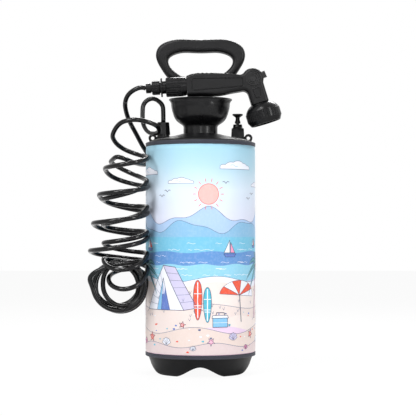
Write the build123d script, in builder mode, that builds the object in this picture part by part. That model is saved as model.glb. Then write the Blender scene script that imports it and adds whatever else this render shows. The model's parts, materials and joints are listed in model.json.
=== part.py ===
from build123d import *
import math
import os

# Portable shower: a hand pumped pressure tank in a padded sleeve, with a curly hose and a spray wand
# that parks on the pump handle. Millimetres, +Z up, the front of the object looks along -Y.

os.makedirs("parts", exist_ok=True)

# Placing: the origin is on the floor under the middle of the overall width without the hose
tank_axis_x = -21.7

# Tank
tank_radius = 90.0
tank_wall = 3.0
foot_radius = 78.5
foot_rounding = 8.0
base_height = 32.0
valley_height = 17.0
valley_half_width = 40.0
shoulder_edge_height = 397.0
shoulder_rounding = 8.0
shoulder_rise = 9.0
collar_radius = 47.0
collar_rise = 3.5
collar_top_radius = 33.0
spigot_radius = 25.9
spigot_bore = 23.6
spigot_height = 14.5

# Padded sleeve and its two bindings
sleeve_gap = 0.2
sleeve_thickness = 3.8
sleeve_bottom = 37.5
sleeve_height = 350.0
binding_height = 7.0
binding_proud = 0.4

# Strap lugs on the shoulder
lug_reach = 82.4
lug_height = 402.8
lug_radius = 7.0
lug_hole_radius = 3.0
lug_thickness = 6.0

# Filling funnel
funnel_wall = 2.5
funnel_clearance = 0.4
funnel_rim_radius = 54.4
funnel_height = 60.0

# Pump
seal_thickness = 2.0
cap_skirt_radius = 25.4
cap_grip_radius = 30.0
cap_height = 20.0
cap_boss_radius = 15.0
cap_boss_height = 5.7
cap_ribs = 18
plug_length = 15.0
plug_clearance = 0.3
cylinder_radius = 21.8
cylinder_wall = 1.8
cylinder_length = 330.0
rod_radius = 7.0
rod_clearance = 0.3
piston_height = 14.0
piston_lift = 6.0
piston_clearance = 0.3
valve_plug_height = 12.0

# Pump handle
handle_rest = 0.3
handle_width = 153.4
handle_height = 87.5
handle_half_depth = 13.2
handle_rounding = 7.0
handle_base_lift = 32.5
hub_radius = 19.0
hub_height = 14.0
pin_radius = 2.5
peg_radius = 4.0
peg_length = 7.5
peg_seat_radius = 7.0
peg_seat_gap = 0.3

# Relief valve and outlet, left and right of the funnel
valve_reach = 64.0
boss_radius = 12.0
boss_height = 8.0
port_radius = 5.0
port_clearance = 0.2
gasket_thickness = 1.2
relief_body_height = 20.0
relief_bore = 6.6
relief_seat = 3.0
stem_radius = 2.6
stem_clearance = 0.3
knob_radius = 9.0
knob_rise = 18.0
outlet_nut_height = 24.0
dip_tube_radius = 4.5
strainer_radius = 8.0
strainer_height = 15.0
floor_gap = 2.0

# Spray wand, drawn in its own plane: the first axis runs from the hose to the head
wand_start_x = -23.3
wand_lift = 36.9
wand_offset_y = -30.5
wand_tilt = 3.0
grip_half_depth = 15.5
grip_rounding = 6.0
hub_u = 112.6
hub_v = 6.1
hub_outer = 18.3
neck_tilt = 14.0
neck_half_width = 15.2
neck_length = 42.0
channel_radius = 7.5
tube_radius = 6.0
lever_radius = 15.2
lever_thickness = 9.0
lever_clearance = 0.4
lever_rest = 20.0
lever_sweep = 40.0
lever_tab_reach = 24.0
core_radius = 5.0
core_clearance = 0.08
cap_ring_radius = 13.6
cap_ring_depth = 1.6
peg_u = 26.0
peg_pitch = 34.0
peg_v = 9.8
peg_clearance = 0.35
screw_radius = 2.6
screw_places = ((6.0, -11.5), (80.0, 10.0), (78.0, -10.5))

# Hose couplings on the wand
swivel_radius = 16.5
swivel_length = 33.2
swivel_ribs = 24
nipple_radius = 12.0
nipple_bore = 8.0
nipple_flange_radius = 15.0
nipple_flange = 2.2
coupling_radius = 10.75
flange_radius = 16.0
clamp_radius = 12.0
clamp_ribs = 20
tail_radius = 8.5
fit_gap = 0.3

# Spray head, drawn in the plane of the neck
head_radius = 29.8
head_back_top = 42.3
head_ring_top = 55.6
head_ring_bottom = 78.2
head_wall = 2.5
face_radius = 24.2
face_thickness = 3.0
head_ribs = 40
nozzle_radius = 0.9
nozzle_rings = 3
nozzle_pitch = 6.2

# Hose
hose_radius = 4.0
coil_x = -138.0
coil_y = -54.0
coil_top_radius = 44.0
coil_bottom_radius = 50.0
coil_top = 350.0
coil_wall = 1.2
bunch_x = -136.0
bunch_y = -50.0
bunch_radius = 38.0
bunch_half_width = 9.0
bunch_half_depth = 19.0
bunch_wall = 1.6
bunch_height = 150.0

# Levels and planes that follow from the sizes
collar_edge = shoulder_edge_height + shoulder_rise
collar_top = collar_edge + collar_rise
spigot_top = collar_top + spigot_height
cap_base = spigot_top + seal_thickness
cap_top = cap_base + cap_height
handle_base = cap_top + cap_boss_height + handle_rest
boss_top = shoulder_edge_height + boss_height
sleeve_inner = tank_radius + sleeve_gap
sleeve_radius = sleeve_inner + sleeve_thickness
sleeve_top = sleeve_bottom + sleeve_height
cylinder_bottom = cap_top - 4.0 - cylinder_length

floor = Plane(origin=(tank_axis_x, 0, 0))
front = Plane(origin=(tank_axis_x, 0, 0), x_dir=(1, 0, 0), z_dir=(0, -1, 0))
tank_axis = Axis((tank_axis_x, 0, 0), (0, 0, 1))
tilt = math.radians(wand_tilt)
wand = Plane(
    origin=(tank_axis_x + wand_start_x, wand_offset_y, handle_base + wand_lift),
    x_dir=(math.cos(tilt), 0, math.sin(tilt)),
    z_dir=(0, -1, 0),
)
wand_axis = Axis(wand.origin, wand.x_dir)
hub = Plane(wand * Location((hub_u, hub_v, 0)))
hub_axis = Axis(hub.origin, hub.z_dir)
neck = Plane(wand * Location((hub_u, hub_v, 0), (0, 0, neck_tilt)))
neck_axis = Axis(neck.origin, neck.y_dir)


# Tank: a hollow blown body that stands on four feet, with a shoulder, a collar and a neck
def valley_profile(half_width, height):
    with BuildSketch(front) as outline:
        with BuildLine():
            Spline(
                (-half_width, -0.001),
                (-0.75 * half_width, 0.24 * height),
                (-0.48 * half_width, 0.6 * height),
                (0, height),
                (0.48 * half_width, 0.6 * height),
                (0.75 * half_width, 0.24 * height),
                (half_width, -0.001),
            )
            Line((half_width, -0.001), (half_width, -5))
            Line((half_width, -5), (-half_width, -5))
            Line((-half_width, -5), (-half_width, -0.001))
        make_face()
    return outline.sketch


with BuildPart() as valleys:
    extrude(valley_profile(valley_half_width, valley_height), amount=tank_radius + 5, both=True)
    add(valleys.part.rotate(tank_axis, 90))

with BuildPart() as inner_valleys:
    extrude(
        valley_profile(valley_half_width + tank_wall, valley_height + tank_wall),
        amount=tank_radius + 5,
        both=True,
    )
    add(inner_valleys.part.rotate(tank_axis, 90))

with BuildPart() as cavity:
    with BuildSketch(front):
        with BuildLine():
            Polyline(
                (0, tank_wall),
                (foot_radius - tank_wall, tank_wall),
                (tank_radius - tank_wall, base_height),
                (tank_radius - tank_wall, shoulder_edge_height - tank_wall),
                (collar_radius, collar_edge - tank_wall),
                (spigot_bore, collar_top - tank_wall),
                (spigot_bore, spigot_top + 1),
                (0, spigot_top + 1),
                close=True,
            )
        make_face()
        inner_foot = foot_radius - tank_wall
        inner_rim = tank_radius - tank_wall
        fillet(vertices().filter_by_position(Axis.X, inner_foot - 0.1, inner_foot + 0.1), foot_rounding - tank_wall)
        fillet(vertices().filter_by_position(Axis.X, inner_rim - 0.1, inner_rim + 0.1), shoulder_rounding - tank_wall)
    revolve(axis=tank_axis)
    add(inner_valleys.part, mode=Mode.SUBTRACT)

with BuildPart() as tank:
    with BuildSketch(front):
        with BuildLine():
            Polyline(
                (0, 0),
                (foot_radius, 0),
                (tank_radius, base_height),
                (tank_radius, shoulder_edge_height),
                (collar_radius, collar_edge),
                (collar_top_radius, collar_top),
                (spigot_radius, collar_top),
                (spigot_radius, spigot_top),
                (0, spigot_top),
                close=True,
            )
        make_face()
        fillet(vertices().filter_by_position(Axis.X, foot_radius - 0.1, foot_radius + 0.1), foot_rounding)
        fillet(vertices().filter_by_position(Axis.X, tank_radius - 0.1, tank_radius + 0.1), shoulder_rounding)
    revolve(axis=tank_axis)
    for side in (-1, 1):
        with BuildSketch(floor.offset(collar_edge - 6)):
            with Locations((side * valve_reach, 0)):
                Circle(boss_radius)
        extrude(amount=boss_top - collar_edge + 6)
    add(valleys.part, mode=Mode.SUBTRACT)
    add(cavity.part, mode=Mode.SUBTRACT)
    for side in (-1, 1):
        with BuildSketch(floor.offset(boss_top)):
            with Locations((side * valve_reach, 0)):
                Circle(port_radius + port_clearance)
        extrude(amount=-20, mode=Mode.SUBTRACT)

tank.part.label = "tank"
export_step(tank.part, "parts/tank.step")

# Strap lugs: an eye on each side of the shoulder, its foot cut to the shoulder's slope
for side, lug_name in ((-1, "strap_lug_left"), (1, "strap_lug_right")):
    with BuildPart() as lug:
        with BuildSketch(front):
            with Locations((side * lug_reach, lug_height)):
                Circle(lug_radius)
            with BuildLine():
                foot_in = (side * (lug_reach - lug_radius), shoulder_edge_height + 0.2)
                foot_out = (side * (lug_reach + lug_radius - 2), shoulder_edge_height - 2.3)
                Polyline(
                    foot_in,
                    foot_out,
                    (side * (lug_reach + lug_radius - 0.3), lug_height),
                    (side * (lug_reach - lug_radius), lug_height),
                    close=True,
                )
            make_face()
        extrude(amount=lug_thickness / 2, both=True)
        with BuildSketch(front):
            with Locations((side * lug_reach, lug_height)):
                Circle(lug_hole_radius)
        extrude(amount=lug_thickness, both=True, mode=Mode.SUBTRACT)
        add(tank.part, mode=Mode.SUBTRACT)
        add(lug.solids().sort_by(Axis.Z)[-1], mode=Mode.INTERSECT)
    lug.part.label = lug_name
    export_step(lug.part, "parts/" + lug_name + ".step")


# Sleeve: the padded print cover, and the elastic binding at each end
with BuildPart() as sleeve:
    with BuildSketch(floor.offset(sleeve_bottom)):
        Circle(sleeve_radius)
        Circle(sleeve_inner, mode=Mode.SUBTRACT)
    extrude(amount=sleeve_height)
sleeve.part.label = "sleeve"
export_step(sleeve.part, "parts/sleeve.step")

for low, binding_name in (
    (sleeve_bottom - binding_height, "sleeve_bottom_binding"),
    (sleeve_top, "sleeve_top_binding"),
):
    with BuildPart() as binding:
        with BuildSketch(front):
            with Locations((sleeve_inner, low)):
                band = Rectangle(
                    sleeve_thickness + binding_proud, binding_height, align=(Align.MIN, Align.MIN)
                )
            fillet(band.vertices().sort_by(Axis.X)[-2:], 1.8)
        revolve(axis=tank_axis)
    binding.part.label = binding_name
    export_step(binding.part, "parts/" + binding_name + ".step")


# Filling funnel: a bell on the collar, round the tank's neck
funnel_bore = spigot_radius + funnel_clearance
funnel_neck = funnel_bore + funnel_wall + 0.5
funnel_top = collar_top + funnel_height
bowl_radius = funnel_rim_radius - 3.7
with BuildPart() as filling_funnel:
    with BuildSketch(front):
        with BuildLine():
            outer_neck = Line((funnel_neck, collar_top), (funnel_neck, collar_top + 11.5))
            outer_bowl = Spline(
                outer_neck @ 1,
                (bowl_radius - 17.5, collar_top + 17.0),
                (bowl_radius - 8.0, collar_top + 25.0),
                (bowl_radius - 2.4, collar_top + 38.2),
                (bowl_radius, collar_top + 52.0),
                tangents=((0, 1), (0.05, 1)),
            )
            lip = Spline(
                outer_bowl @ 1,
                (bowl_radius + 1.3, funnel_top - 4.2),
                (funnel_rim_radius, funnel_top - 1.4),
                tangents=((0.05, 1), (1, 0.4)),
            )
            rim_edge = Line(lip @ 1, (funnel_rim_radius, funnel_top))
            rim_flat = Line(rim_edge @ 1, (funnel_rim_radius - 2.2, funnel_top))
            inner_lip = Spline(
                rim_flat @ 1,
                (bowl_radius - funnel_wall + 1.0, funnel_top - 4.0),
                (bowl_radius - funnel_wall, collar_top + 52.0),
                tangents=((-1, -0.4), (-0.05, -1)),
            )
            inner_bowl = Spline(
                inner_lip @ 1,
                (bowl_radius - 2.4 - funnel_wall, collar_top + 38.2),
                (bowl_radius - 8.6 - funnel_wall, collar_top + 26.2),
                (bowl_radius - 17.0 - funnel_wall, collar_top + 20.0),
                (funnel_bore, collar_top + 14.0),
                tangents=((-0.05, -1), (0, -1)),
            )
            inner_neck = Line(inner_bowl @ 1, (funnel_bore, collar_top))
            Line(inner_neck @ 1, outer_neck @ 0)
        make_face()
    revolve(axis=tank_axis)
filling_funnel.part.label = "filling_funnel"
export_step(filling_funnel.part, "parts/filling_funnel.step")


# Pump: cap with its plug in the tank's neck, seal, cylinder and foot valve
with BuildPart() as pump_neck_seal:
    with BuildSketch(floor.offset(spigot_top)):
        Circle(cap_skirt_radius)
        Circle(spigot_bore + 0.2, mode=Mode.SUBTRACT)
    extrude(amount=seal_thickness)
pump_neck_seal.part.label = "pump_neck_seal"
export_step(pump_neck_seal.part, "parts/pump_neck_seal.step")

plug_radius = spigot_bore - plug_clearance
grip_base = cap_base + 8.0
with BuildPart() as pump_cap:
    with BuildSketch(front):
        with BuildLine():
            Polyline(
                (cylinder_radius, spigot_top - plug_length),
                (plug_radius, spigot_top - plug_length),
                (plug_radius, cap_base),
                (cap_skirt_radius, cap_base),
                (cap_skirt_radius, grip_base),
                (cap_grip_radius, grip_base + 3.0),
                (cap_grip_radius, cap_top),
                (cap_boss_radius, cap_top),
                (cap_boss_radius, cap_top + cap_boss_height),
                (rod_radius + rod_clearance, cap_top + cap_boss_height),
                (rod_radius + rod_clearance, cap_top - 4.0),
                (cylinder_radius, cap_top - 4.0),
                close=True,
            )
        make_face()
    revolve(axis=tank_axis)
    rib_edge = pump_cap.edges().filter_by(GeomType.CIRCLE).group_by(Axis.Z)[-2][-1:]
    with BuildSketch(floor.offset(grip_base)):
        with PolarLocations(cap_grip_radius + 1.2, cap_ribs):
            Circle(2.4)
    extrude(amount=cap_top - grip_base + 1, mode=Mode.SUBTRACT)
pump_cap.part.label = "pump_cap"
export_step(pump_cap.part, "parts/pump_cap.step")

with BuildPart() as pump_cylinder:
    with BuildSketch(floor.offset(cylinder_bottom)):
        Circle(cylinder_radius - 0.05)
        Circle(cylinder_radius - cylinder_wall, mode=Mode.SUBTRACT)
    extrude(amount=cylinder_length)
pump_cylinder.part.label = "pump_cylinder"
export_step(pump_cylinder.part, "parts/pump_cylinder.step")

cylinder_bore = cylinder_radius - cylinder_wall
with BuildPart() as foot_valve_cage:
    with BuildSketch(floor.offset(cylinder_bottom)):
        Circle(cylinder_bore - 0.05)
    extrude(amount=valve_plug_height)
    with BuildSketch(floor.offset(cylinder_bottom)):
        Circle(cylinder_radius)
    extrude(amount=-3.0)
    with BuildSketch(floor.offset(cylinder_bottom - 3.0)):
        with PolarLocations(8.0, 6):
            Circle(2.2)
    extrude(amount=valve_plug_height + 3.0, mode=Mode.SUBTRACT)
    with BuildSketch(floor.offset(cylinder_bottom - 3.0)):
        Circle(2.4)
    extrude(amount=8.0, mode=Mode.SUBTRACT)
foot_valve_cage.part.label = "foot_valve_cage"
export_step(foot_valve_cage.part, "parts/foot_valve_cage.step")

with BuildPart() as foot_valve_disc:
    with BuildSketch(front):
        with BuildLine():
            Polyline(
                (0, cylinder_bottom + 4.0),
                (2.3, cylinder_bottom + 4.0),
                (2.3, cylinder_bottom - 3.0),
                (12.5, cylinder_bottom - 3.0),
                (12.5, cylinder_bottom - 4.2),
                (4.0, cylinder_bottom - 6.0),
                (0, cylinder_bottom - 6.0),
                close=True,
            )
        make_face()
    revolve(axis=tank_axis)
foot_valve_disc.part.label = "foot_valve_disc"
export_step(foot_valve_disc.part, "parts/foot_valve_disc.step")


# Piston on the rod's foot, with its cup seal, and the rod that turns in it
piston_bottom = cylinder_bottom + valve_plug_height + piston_lift
piston_top = piston_bottom + piston_height
hub_top = handle_base + 34.0
with BuildPart() as piston:
    with BuildSketch(front):
        with BuildLine():
            Polyline(
                (0, piston_bottom),
                (cylinder_bore - 1.5, piston_bottom),
                (cylinder_bore - 1.5, piston_bottom + 4.0),
                (cylinder_bore - 5.0, piston_bottom + 4.0),
                (cylinder_bore - 5.0, piston_top - 4.0),
                (cylinder_bore - 1.5, piston_top - 4.0),
                (cylinder_bore - 1.5, piston_top),
                (rod_radius + 0.06, piston_top),
                (rod_radius + 0.06, piston_bottom + 3.0),
                (0, piston_bottom + 3.0),
                close=True,
            )
        make_face()
    revolve(axis=tank_axis)
piston.part.label = "piston"
export_step(piston.part, "parts/piston.step")

with BuildPart() as piston_seal:
    with BuildSketch(front):
        with BuildLine():
            Polyline(
                (cylinder_bore - 5.0, piston_bottom + 4.2),
                (cylinder_bore - piston_clearance - 0.6, piston_bottom + 4.2),
                (cylinder_bore - piston_clearance, piston_bottom + 5.2),
                (cylinder_bore - piston_clearance, piston_top - 5.0),
                (cylinder_bore - 2.0, piston_top - 5.0),
                (cylinder_bore - 2.6, piston_bottom + 6.4),
                (cylinder_bore - 5.0, piston_bottom + 6.4),
                close=True,
            )
        make_face()
    revolve(axis=tank_axis)
piston_seal.part.label = "piston_seal"
export_step(piston_seal.part, "parts/piston_seal.step")

pin_height = handle_base + hub_height / 2
with BuildPart() as piston_rod:
    with BuildSketch(floor.offset(piston_bottom + 3.3)):
        Circle(rod_radius)
    extrude(amount=hub_top - 6.0 - piston_bottom - 3.3)
    with BuildSketch(Plane(origin=(tank_axis_x, 0, pin_height), x_dir=(0, 1, 0), z_dir=(1, 0, 0))):
        Circle(pin_radius)
    extrude(amount=rod_radius + 1, both=True, mode=Mode.SUBTRACT)
piston_rod.part.label = "piston_rod"
export_step(piston_rod.part, "parts/piston_rod.step")


# Handle: a rounded loop with a hub for the rod and two pegs that the wand parks on
half_width = handle_width / 2
loop_low = handle_base + handle_base_lift
loop_top = loop_low + handle_height
with BuildPart() as pump_handle:
    with BuildSketch(front):
        with BuildLine():
            Spline(
                (0, loop_top),
                (0.68 * half_width, loop_top - 1.6),
                (0.95 * half_width, loop_top - 14.0),
                (half_width, loop_top - 28.0),
                (0.89 * half_width, loop_top - 48.5),
                (0.66 * half_width, loop_top - 70.0),
                (0.3 * half_width, loop_top - 85.0),
                (0, loop_low),
                tangents=((1, 0), (-1, 0)),
            )
            mirror(about=Plane.YZ)
        make_face()
        with BuildLine():
            Spline(
                (0, loop_top - 22.0),
                (0.52 * half_width, loop_top - 23.2),
                (0.715 * half_width, loop_top - 33.0),
                (0.7 * half_width, loop_top - 44.0),
                (0.52 * half_width, loop_top - 58.0),
                (0, loop_top - 64.0),
                tangents=((1, 0), (-1, 0)),
            )
            mirror(about=Plane.YZ)
        make_face(mode=Mode.SUBTRACT)
    extrude(amount=handle_half_depth, both=True)
    fillet(pump_handle.edges().filter_by(Plane.XZ), handle_rounding)
    with BuildSketch(floor.offset(handle_base)):
        Ellipse(hub_radius + 1.5, handle_half_depth - 0.2)
    extrude(amount=hub_top - handle_base + 6)
    with BuildSketch(floor.offset(handle_base)):
        Circle(hub_radius)
    extrude(amount=hub_height)
    with BuildSketch(floor.offset(handle_base)):
        Circle(rod_radius + 0.05)
    extrude(amount=hub_top - 6.0 - handle_base, mode=Mode.SUBTRACT)
    with BuildSketch(Plane(origin=(tank_axis_x, 0, pin_height), x_dir=(0, 1, 0), z_dir=(1, 0, 0))):
        Circle(pin_radius)
    extrude(amount=hub_radius + 1, both=True, mode=Mode.SUBTRACT)
    back_of_wand = -grip_half_depth
    with BuildSketch(wand.offset(back_of_wand - peg_seat_gap)):
        with Locations((peg_u, peg_v), (peg_u + peg_pitch, peg_v)):
            Circle(peg_seat_radius)
    extrude(amount=-8.0)
    with BuildSketch(wand.offset(back_of_wand - peg_seat_gap)):
        with Locations((peg_u, peg_v), (peg_u + peg_pitch, peg_v)):
            Circle(peg_radius)
    extrude(amount=peg_length)
pump_handle.part.label = "pump_handle"
export_step(pump_handle.part, "parts/pump_handle.step")

with BuildPart() as handle_pin:
    with BuildSketch(Plane(origin=(tank_axis_x, 0, pin_height), x_dir=(0, 1, 0), z_dir=(1, 0, 0))):
        Circle(pin_radius)
    extrude(amount=hub_radius - 0.8, both=True)
handle_pin.part.label = "handle_pin"
export_step(handle_pin.part, "parts/handle_pin.step")


# Relief valve: body on its gasket, stem with a pull knob, spring and seal
body_low = boss_top + gasket_thickness
body_top = body_low + relief_body_height
knob_top = body_top + knob_rise
relief = Plane(origin=(tank_axis_x + valve_reach, 0, 0), x_dir=(1, 0, 0), z_dir=(0, -1, 0))
relief_axis = Axis((tank_axis_x + valve_reach, 0, 0), (0, 0, 1))
outlet = Plane(origin=(tank_axis_x - valve_reach, 0, 0), x_dir=(1, 0, 0), z_dir=(0, -1, 0))
outlet_axis = Axis((tank_axis_x - valve_reach, 0, 0), (0, 0, 1))
seat_height = body_low + relief_seat
with BuildPart() as relief_gasket:
    with BuildSketch(Plane(origin=(tank_axis_x + valve_reach, 0, boss_top))):
        Circle(boss_radius - 0.8)
        Circle(port_radius + 0.4, mode=Mode.SUBTRACT)
    extrude(amount=gasket_thickness)
relief_gasket.part.label = "relief_gasket"
export_step(relief_gasket.part, "parts/relief_gasket.step")

with BuildPart() as relief_body:
    with BuildSketch(Plane(origin=(tank_axis_x + valve_reach, 0, body_low))):
        RegularPolygon(boss_radius - 0.9, 6, major_radius=False, rotation=30)
    extrude(amount=relief_body_height - 7.0, taper=3)
    with BuildSketch(relief):
        with BuildLine():
            Polyline(
                (0, body_low),
                (boss_radius - 1.6, body_low),
                (boss_radius - 2.2, body_top - 7.0),
                (8.2, body_top - 5.0),
                (7.6, body_top),
                (0, body_top),
                close=True,
            )
        make_face()
    revolve(axis=relief_axis)
    with BuildSketch(Plane(origin=(tank_axis_x + valve_reach, 0, body_low))):
        Circle(port_radius)
    extrude(amount=-12.0)
    with BuildSketch(Plane(origin=(tank_axis_x + valve_reach, 0, seat_height))):
        Circle(relief_bore)
    extrude(amount=relief_body_height - relief_seat - 2.5, mode=Mode.SUBTRACT)
    with BuildSketch(Plane(origin=(tank_axis_x + valve_reach, 0, body_low - 13.0))):
        Circle(stem_radius + stem_clearance)
    extrude(amount=relief_body_height + 14.0, mode=Mode.SUBTRACT)
relief_body.part.label = "relief_body"
export_step(relief_body.part, "parts/relief_body.step")

with BuildPart() as relief_stem:
    with BuildSketch(relief):
        with BuildLine():
            Polyline(
                (0, body_low - 9.0),
                (stem_radius, body_low - 9.0),
                (stem_radius, seat_height + 2.2),
                (relief_bore - 0.6, seat_height + 2.2),
                (relief_bore - 0.6, seat_height + 3.6),
                (stem_radius, seat_height + 3.6),
                (stem_radius, body_top + 1.5),
                (4.9, body_top + 1.8),
                (4.9, body_top + 4.5),
                (3.6, body_top + 8.5),
                (3.6, knob_top - 6.0),
                (knob_radius, knob_top - 2.0),
                (knob_radius, knob_top),
                (0, knob_top),
                close=True,
            )
        make_face()
    revolve(axis=relief_axis)
relief_stem.part.label = "relief_stem"
export_step(relief_stem.part, "parts/relief_stem.step")

with BuildPart() as relief_seal:
    with BuildSketch(Plane(origin=(tank_axis_x + valve_reach, 0, seat_height + 0.3))):
        Circle(relief_bore - 0.6)
        Circle(stem_radius, mode=Mode.SUBTRACT)
    extrude(amount=1.9)
relief_seal.part.label = "relief_seal"
export_step(relief_seal.part, "parts/relief_seal.step")

with BuildPart() as relief_spring:
    with BuildSketch(Plane(origin=(tank_axis_x + valve_reach, 0, seat_height + 3.6))):
        Circle(relief_bore - 0.8)
        Circle(stem_radius + 1.6, mode=Mode.SUBTRACT)
    extrude(amount=body_top - 2.5 - seat_height - 3.6)
relief_spring.part.label = "relief_spring"
export_step(relief_spring.part, "parts/relief_spring.step")


# Outlet: threaded fitting through the shoulder, its gasket, the hose nut, dip tube and strainer
outlet_top = body_low + outlet_nut_height
tube_bottom = valley_height + tank_wall + floor_gap
with BuildPart() as outlet_gasket:
    with BuildSketch(Plane(origin=(tank_axis_x - valve_reach, 0, boss_top))):
        Circle(boss_radius - 0.8)
        Circle(port_radius + 0.4, mode=Mode.SUBTRACT)
    extrude(amount=gasket_thickness)
outlet_gasket.part.label = "outlet_gasket"
export_step(outlet_gasket.part, "parts/outlet_gasket.step")

with BuildPart() as outlet_fitting:
    with BuildSketch(outlet):
        with BuildLine():
            Polyline(
                (3.0, shoulder_edge_height - 12.0),
                (port_radius, shoulder_edge_height - 12.0),
                (port_radius, body_low),
                (boss_radius - 1.5, body_low),
                (boss_radius - 1.5, body_low + 2.5),
                (8.0, body_low + 2.5),
                (8.0, outlet_top - 8.5),
                (5.0, outlet_top - 6.0),
                (3.0, outlet_top - 6.0),
                close=True,
            )
        make_face()
    revolve(axis=outlet_axis)
outlet_fitting.part.label = "outlet_fitting"
export_step(outlet_fitting.part, "parts/outlet_fitting.step")

with BuildPart() as outlet_nut:
    with BuildSketch(Plane(origin=(tank_axis_x - valve_reach, 0, body_low + 2.6))):
        RegularPolygon(boss_radius - 0.2, 8, major_radius=False, rotation=22.5)
    extrude(amount=outlet_nut_height - 2.6, taper=5)
    with BuildSketch(outlet):
        with BuildLine():
            Polyline(
                (0, body_low + 2.6),
                (8.2, body_low + 2.6),
                (8.2, outlet_top - 7.8),
                (hose_radius + 0.1, outlet_top - 4.8),
                (hose_radius + 0.1, outlet_top + 1),
                (0, outlet_top + 1),
                close=True,
            )
        make_face()
    revolve(axis=outlet_axis, mode=Mode.SUBTRACT)
    fillet(outlet_nut.faces().sort_by(Axis.Z)[-1].outer_wire().edges(), 1.5)
outlet_nut.part.label = "outlet_nut"
export_step(outlet_nut.part, "parts/outlet_nut.step")

with BuildPart() as dip_tube:
    with BuildSketch(Plane(origin=(tank_axis_x - valve_reach, 0, tube_bottom + strainer_height))):
        Circle(dip_tube_radius)
        Circle(dip_tube_radius - 1.2, mode=Mode.SUBTRACT)
    extrude(amount=shoulder_edge_height - 12.0 - tube_bottom - strainer_height)
dip_tube.part.label = "dip_tube"
export_step(dip_tube.part, "parts/dip_tube.step")

with BuildPart() as strainer:
    with BuildSketch(outlet):
        with BuildLine():
            Polyline(
                (0, tube_bottom),
                (strainer_radius, tube_bottom),
                (strainer_radius, tube_bottom + 9.0),
                (dip_tube_radius + 1.0, tube_bottom + strainer_height),
                (dip_tube_radius - 1.2, tube_bottom + strainer_height),
                (strainer_radius - 2.0, tube_bottom + 8.5),
                (strainer_radius - 2.0, tube_bottom + 1.6),
                (0, tube_bottom + 1.6),
                close=True,
            )
        make_face()
    revolve(axis=outlet_axis)
    with BuildSketch(floor.offset(tube_bottom - 1)):
        with Locations((-valve_reach, 0)):
            with PolarLocations(4.0, 6):
                Circle(1.2)
    extrude(amount=4, mode=Mode.SUBTRACT)
strainer.part.label = "strainer"
export_step(strainer.part, "parts/strainer.step")


# Wand body: one outline of grip, hub and neck, rounded all round and split down the middle
with BuildPart() as wand_form:
    with BuildSketch(wand) as wand_outline:
        with BuildLine():
            grip_end = Line((0.3, -16.6), (0.3, 16.6))
            grip_back = Spline(
                grip_end @ 1,
                (17.0, 20.7),
                (46.0, 19.6),
                (72.0, 17.0),
                (hub_u - 6.0, 11.0),
                tangents=((1, 0.5), (1, -0.2)),
            )
            inside_hub = Line(grip_back @ 1, (hub_u - 6.0, -12.0))
            Spline(
                inside_hub @ 1,
                (88.0, -14.4),
                (73.0, -16.2),
                (57.0, -18.6),
                (30.0, -17.8),
                grip_end @ 0,
                tangents=((-1, -0.1), (-1, 0.1)),
            )
        make_face()
        with Locations((hub_u, hub_v)):
            Circle(hub_outer)
        with Locations(Location((hub_u, hub_v), neck_tilt)):
            Rectangle(2 * neck_half_width, neck_length, align=(Align.CENTER, Align.MAX))
        corners = wand_outline.vertices().filter_by_position(Axis.X, hub_u - 25, hub_u + 22)
        inner_corners = corners.filter_by_position(Axis.Y, -15, 15)
        fillet(inner_corners, 9)
    extrude(amount=grip_half_depth, both=True)
    outline_edges = wand_form.edges().filter_by(wand, tolerance=0.001)
    grip_line = outline_edges.filter_by(GeomType.LINE).filter_by(Axis(wand.origin, wand.y_dir))
    neck_line = outline_edges.filter_by(GeomType.LINE).filter_by(Axis(neck.origin, neck.x_dir))
    fillet(outline_edges - grip_line - neck_line, grip_rounding)

scallop_pitch = 7.4
with BuildPart() as wand_cuts:
    # Water way along the grip, the valve chamber in the hub and the way down the neck
    with BuildSketch(wand):
        Rectangle(hub_u, channel_radius, align=(Align.MIN, Align.MIN))
    revolve(axis=wand_axis)
    with BuildSketch(hub.offset(-lever_thickness / 2 - lever_clearance)):
        Circle(lever_radius + lever_clearance)
    extrude(amount=lever_thickness + 2 * lever_clearance)
    with BuildSketch(hub.offset(-grip_half_depth + 3)):
        Circle(core_radius + core_clearance)
    extrude(amount=2 * grip_half_depth - 6)
    with BuildSketch(neck):
        with Locations((0, -neck_length)):
            Rectangle(tube_radius + 0.2, neck_length - lever_radius - 1, align=(Align.MIN, Align.MIN))
    revolve(axis=neck_axis)
    # Slot for the thumb lever round the rim of the hub
    with BuildSketch(hub.offset(-lever_thickness / 2 - lever_clearance)):
        with BuildLine():
            low_angle = lever_rest - 24
            high_angle = lever_rest + lever_sweep + 24
            slot_start = PolarLine((0, 0), 30, low_angle)
            slot_end = PolarLine((0, 0), 30, high_angle)
            ThreePointArc(
                slot_start @ 1,
                (
                    30 * math.cos(math.radians((low_angle + high_angle) / 2)),
                    30 * math.sin(math.radians((low_angle + high_angle) / 2)),
                ),
                slot_end @ 1,
            )
        make_face()
    extrude(amount=lever_thickness + 2 * lever_clearance)
    # Parking sockets in the back, screw holes, and the recess of the ringed cap
    with BuildSketch(wand.offset(-grip_half_depth)):
        with Locations((peg_u, peg_v), (peg_u + peg_pitch, peg_v)):
            Circle(peg_radius + peg_clearance)
    extrude(amount=peg_length + 0.5)
    with BuildSketch(wand.offset(-grip_half_depth)):
        with Locations(*screw_places):
            Circle(screw_radius + 0.1)
    extrude(amount=grip_half_depth + 7)
    with BuildSketch(hub.offset(grip_half_depth - 1.2)):
        Circle(cap_ring_radius + 0.2)
    extrude(amount=3)

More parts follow.
